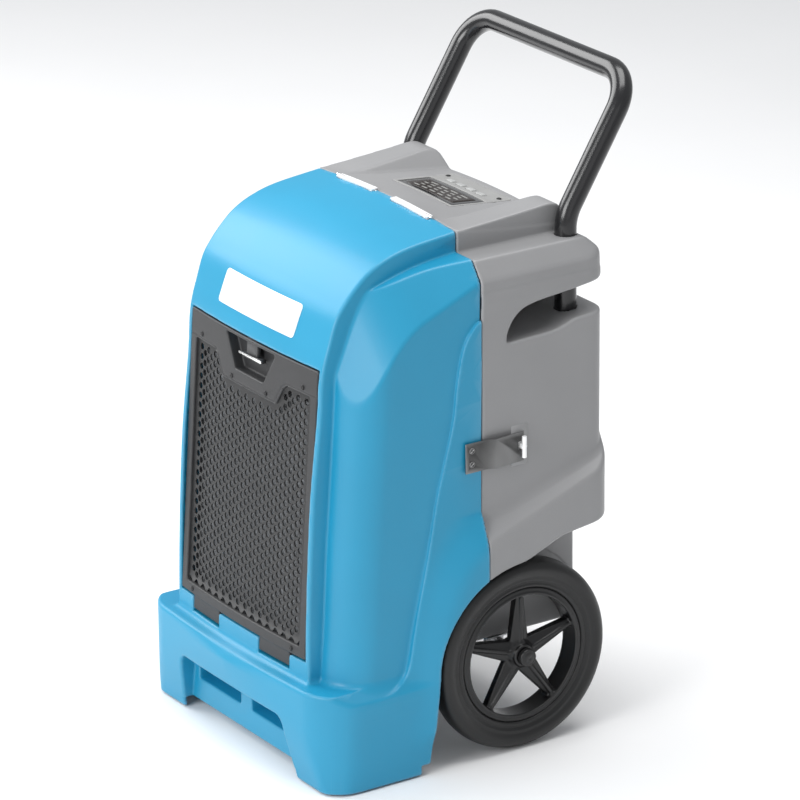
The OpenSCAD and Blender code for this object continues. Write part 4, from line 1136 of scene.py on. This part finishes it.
def make_buttons():
    for k, key in enumerate(("power", "mode", "pump", "defrost")):
        x = -33 + 22 * k
        cap = deck_plate(x - 6.9, x + 6.9, 117.1, 124.9, 1.5, ((-3, 0), (0.9, 0), (1.3, 0.7)), 3)
        add_parts("button_" + key, [cap], "key_plastic", "button_" + key, ["key_" + key])


# ---- latches, guard and base
def make_rivets():
    heads = [dome(4, 0.9, (s * 215.5, -18, STUD_Z + dz), (s, 0, 0), slot=0.2)
             for s in (-1, 1) for dz in (-9, 9)]
    add_parts("rivet_heads", heads, "latch_steel", "cover", ["strap_rivets"])


def make_stud_plates():
    parts = [block(s * 206, s * 210.7, STUD_Y - 13, STUD_Y + 12, STUD_Z - 27, STUD_Z + 27)
             for s in (-1, 1)]
    add_parts("latch_pads", parts, "grey_shell", "chassis", ["stud_plates"], 0.8)


def make_guard():
    """Round wire guard over the air outlet."""
    y, z, parts = 190.2, OUTLET_Z, []
    for r in range(30, 106, 15):
        path = [(r * math.cos(t), y, z + r * math.sin(t))
                for t in (2 * math.pi * k / 72 for k in range(72))]
        parts.append(sweep(path, circle(1.25, 10), closed=True))
    for k in range(8):
        t = math.pi / 4 * k
        c, s = math.cos(t), math.sin(t)
        parts.append(sweep([(14 * c, y - 1, z + 14 * s), (60 * c, y - 1, z + 60 * s),
                            (117.5 * c, y - 1, z + 117.5 * s)], circle(1.6, 10)))
    rim = [(116.2, -2), (121.2, -2), (121.7, -1.4), (121.7, 1.2), (120.4, 1.8), (117.2, 1.8),
           (116.2, 1)]
    parts.append(turned(rim, (0, y, z), (0, 1, 0), 96))
    boss = [(0.02, -1.6), (17.6, -1.6), (17.9, 0.9), (17, 1.6), (12, 1.7), (0.02, 1.7)]
    parts.append(turned(boss, (0, y, z), (0, 1, 0), 48))
    add_parts("outlet_guard", parts, "black_wire", "chassis", ["exhaust_grille"])


def make_handle_bolts():
    head = [(0.02, -8), (2.9, -8), (2.9, 0.1), (5.9, 0.1), (5.9, 1.2), (4.9, 2.4), (2.6, 2.8),
            (2.4, 1.4), (0.02, 1.4)]
    parts = [turned(head, (s * LEG_X, 194.1, BOLT_Z), (0, 1, 0), 32) for s in (-1, 1)]
    add_parts("bolt_heads", parts, "fastener_steel", "chassis", ["handle_bolts"])


make_front_shell()
make_rear_housing()
make_door()
make_sheet()
make_name_plate()
make_door_screws()
make_bolt()
make_hinges()
make_handle()
make_rims()
make_tyres()
make_hub_caps()
make_panel()
make_display_bars()
make_panel_screws()
make_buttons()
make_rivets()
make_stud_plates()
make_guard()
make_handle_bolts()
soften("latch_straps", "latch_steel", "cover", 0.5)
soften("front_feet", "foot_rubber", "chassis", 1.2)
soften("chassis_base", "zinc_plate", "chassis", 0.5)


# ---- floor and light
def stage():
    v, f = block(-9000, 9000, -9000, 9000, -4, -0.2)
    floor = bpy.data.objects.new("floor", mesh_from("floor", v, f))
    SCENE.collection.objects.link(floor)
    floor.data.materials.append(material("floor_paint", (0.90, 0.90, 0.90), 0.75, 0.02, 60,
                                         0.01, 2))
    world = bpy.data.worlds.new("studio")
    SCENE.world = world
    world.use_nodes = True
    back = world.node_tree.nodes["Background"]
    back.inputs["Color"].default_value = (0.95, 0.97, 1.0, 1)
    back.inputs["Strength"].default_value = 0.50
    for name, at, aim, size, power in (
            ("key", (-2.4, -1.3, 2.4), (0, -0.1, 0.55), 2.3, 85),
            ("front", (0.7, -3.3, 1.9), (0, 0, 0.4), 1.8, 74),
            ("top", (0.2, 0.4, 3.6), (0, 0, 0.5), 2.2, 75),
            ("fill", (3.2, -1.2, 1.4), (0, 0, 0.4), 2.0, 5)):
        data = bpy.data.lights.new(name, "AREA")
        data.size = size
        data.energy = power
        lamp = bpy.data.objects.new(name, data)
        SCENE.collection.objects.link(lamp)
        lamp.location = at
        lamp.rotation_euler = (Vector(aim) - Vector(at)).to_track_quat("-Z", "Y").to_euler()
    SCENE.view_settings.view_transform = "Standard"


stage()
# the CAD nodes keep their own finish, but the turning studs are bright
LOOK = {"turn_stud_left": "hinge_steel", "turn_stud_right": "hinge_steel"}
for node, obj in frame["nodes"].items():
    for place in obj.material_slots:
        place.material = FINISH[LOOK.get(node, SLOT_OF[node])]
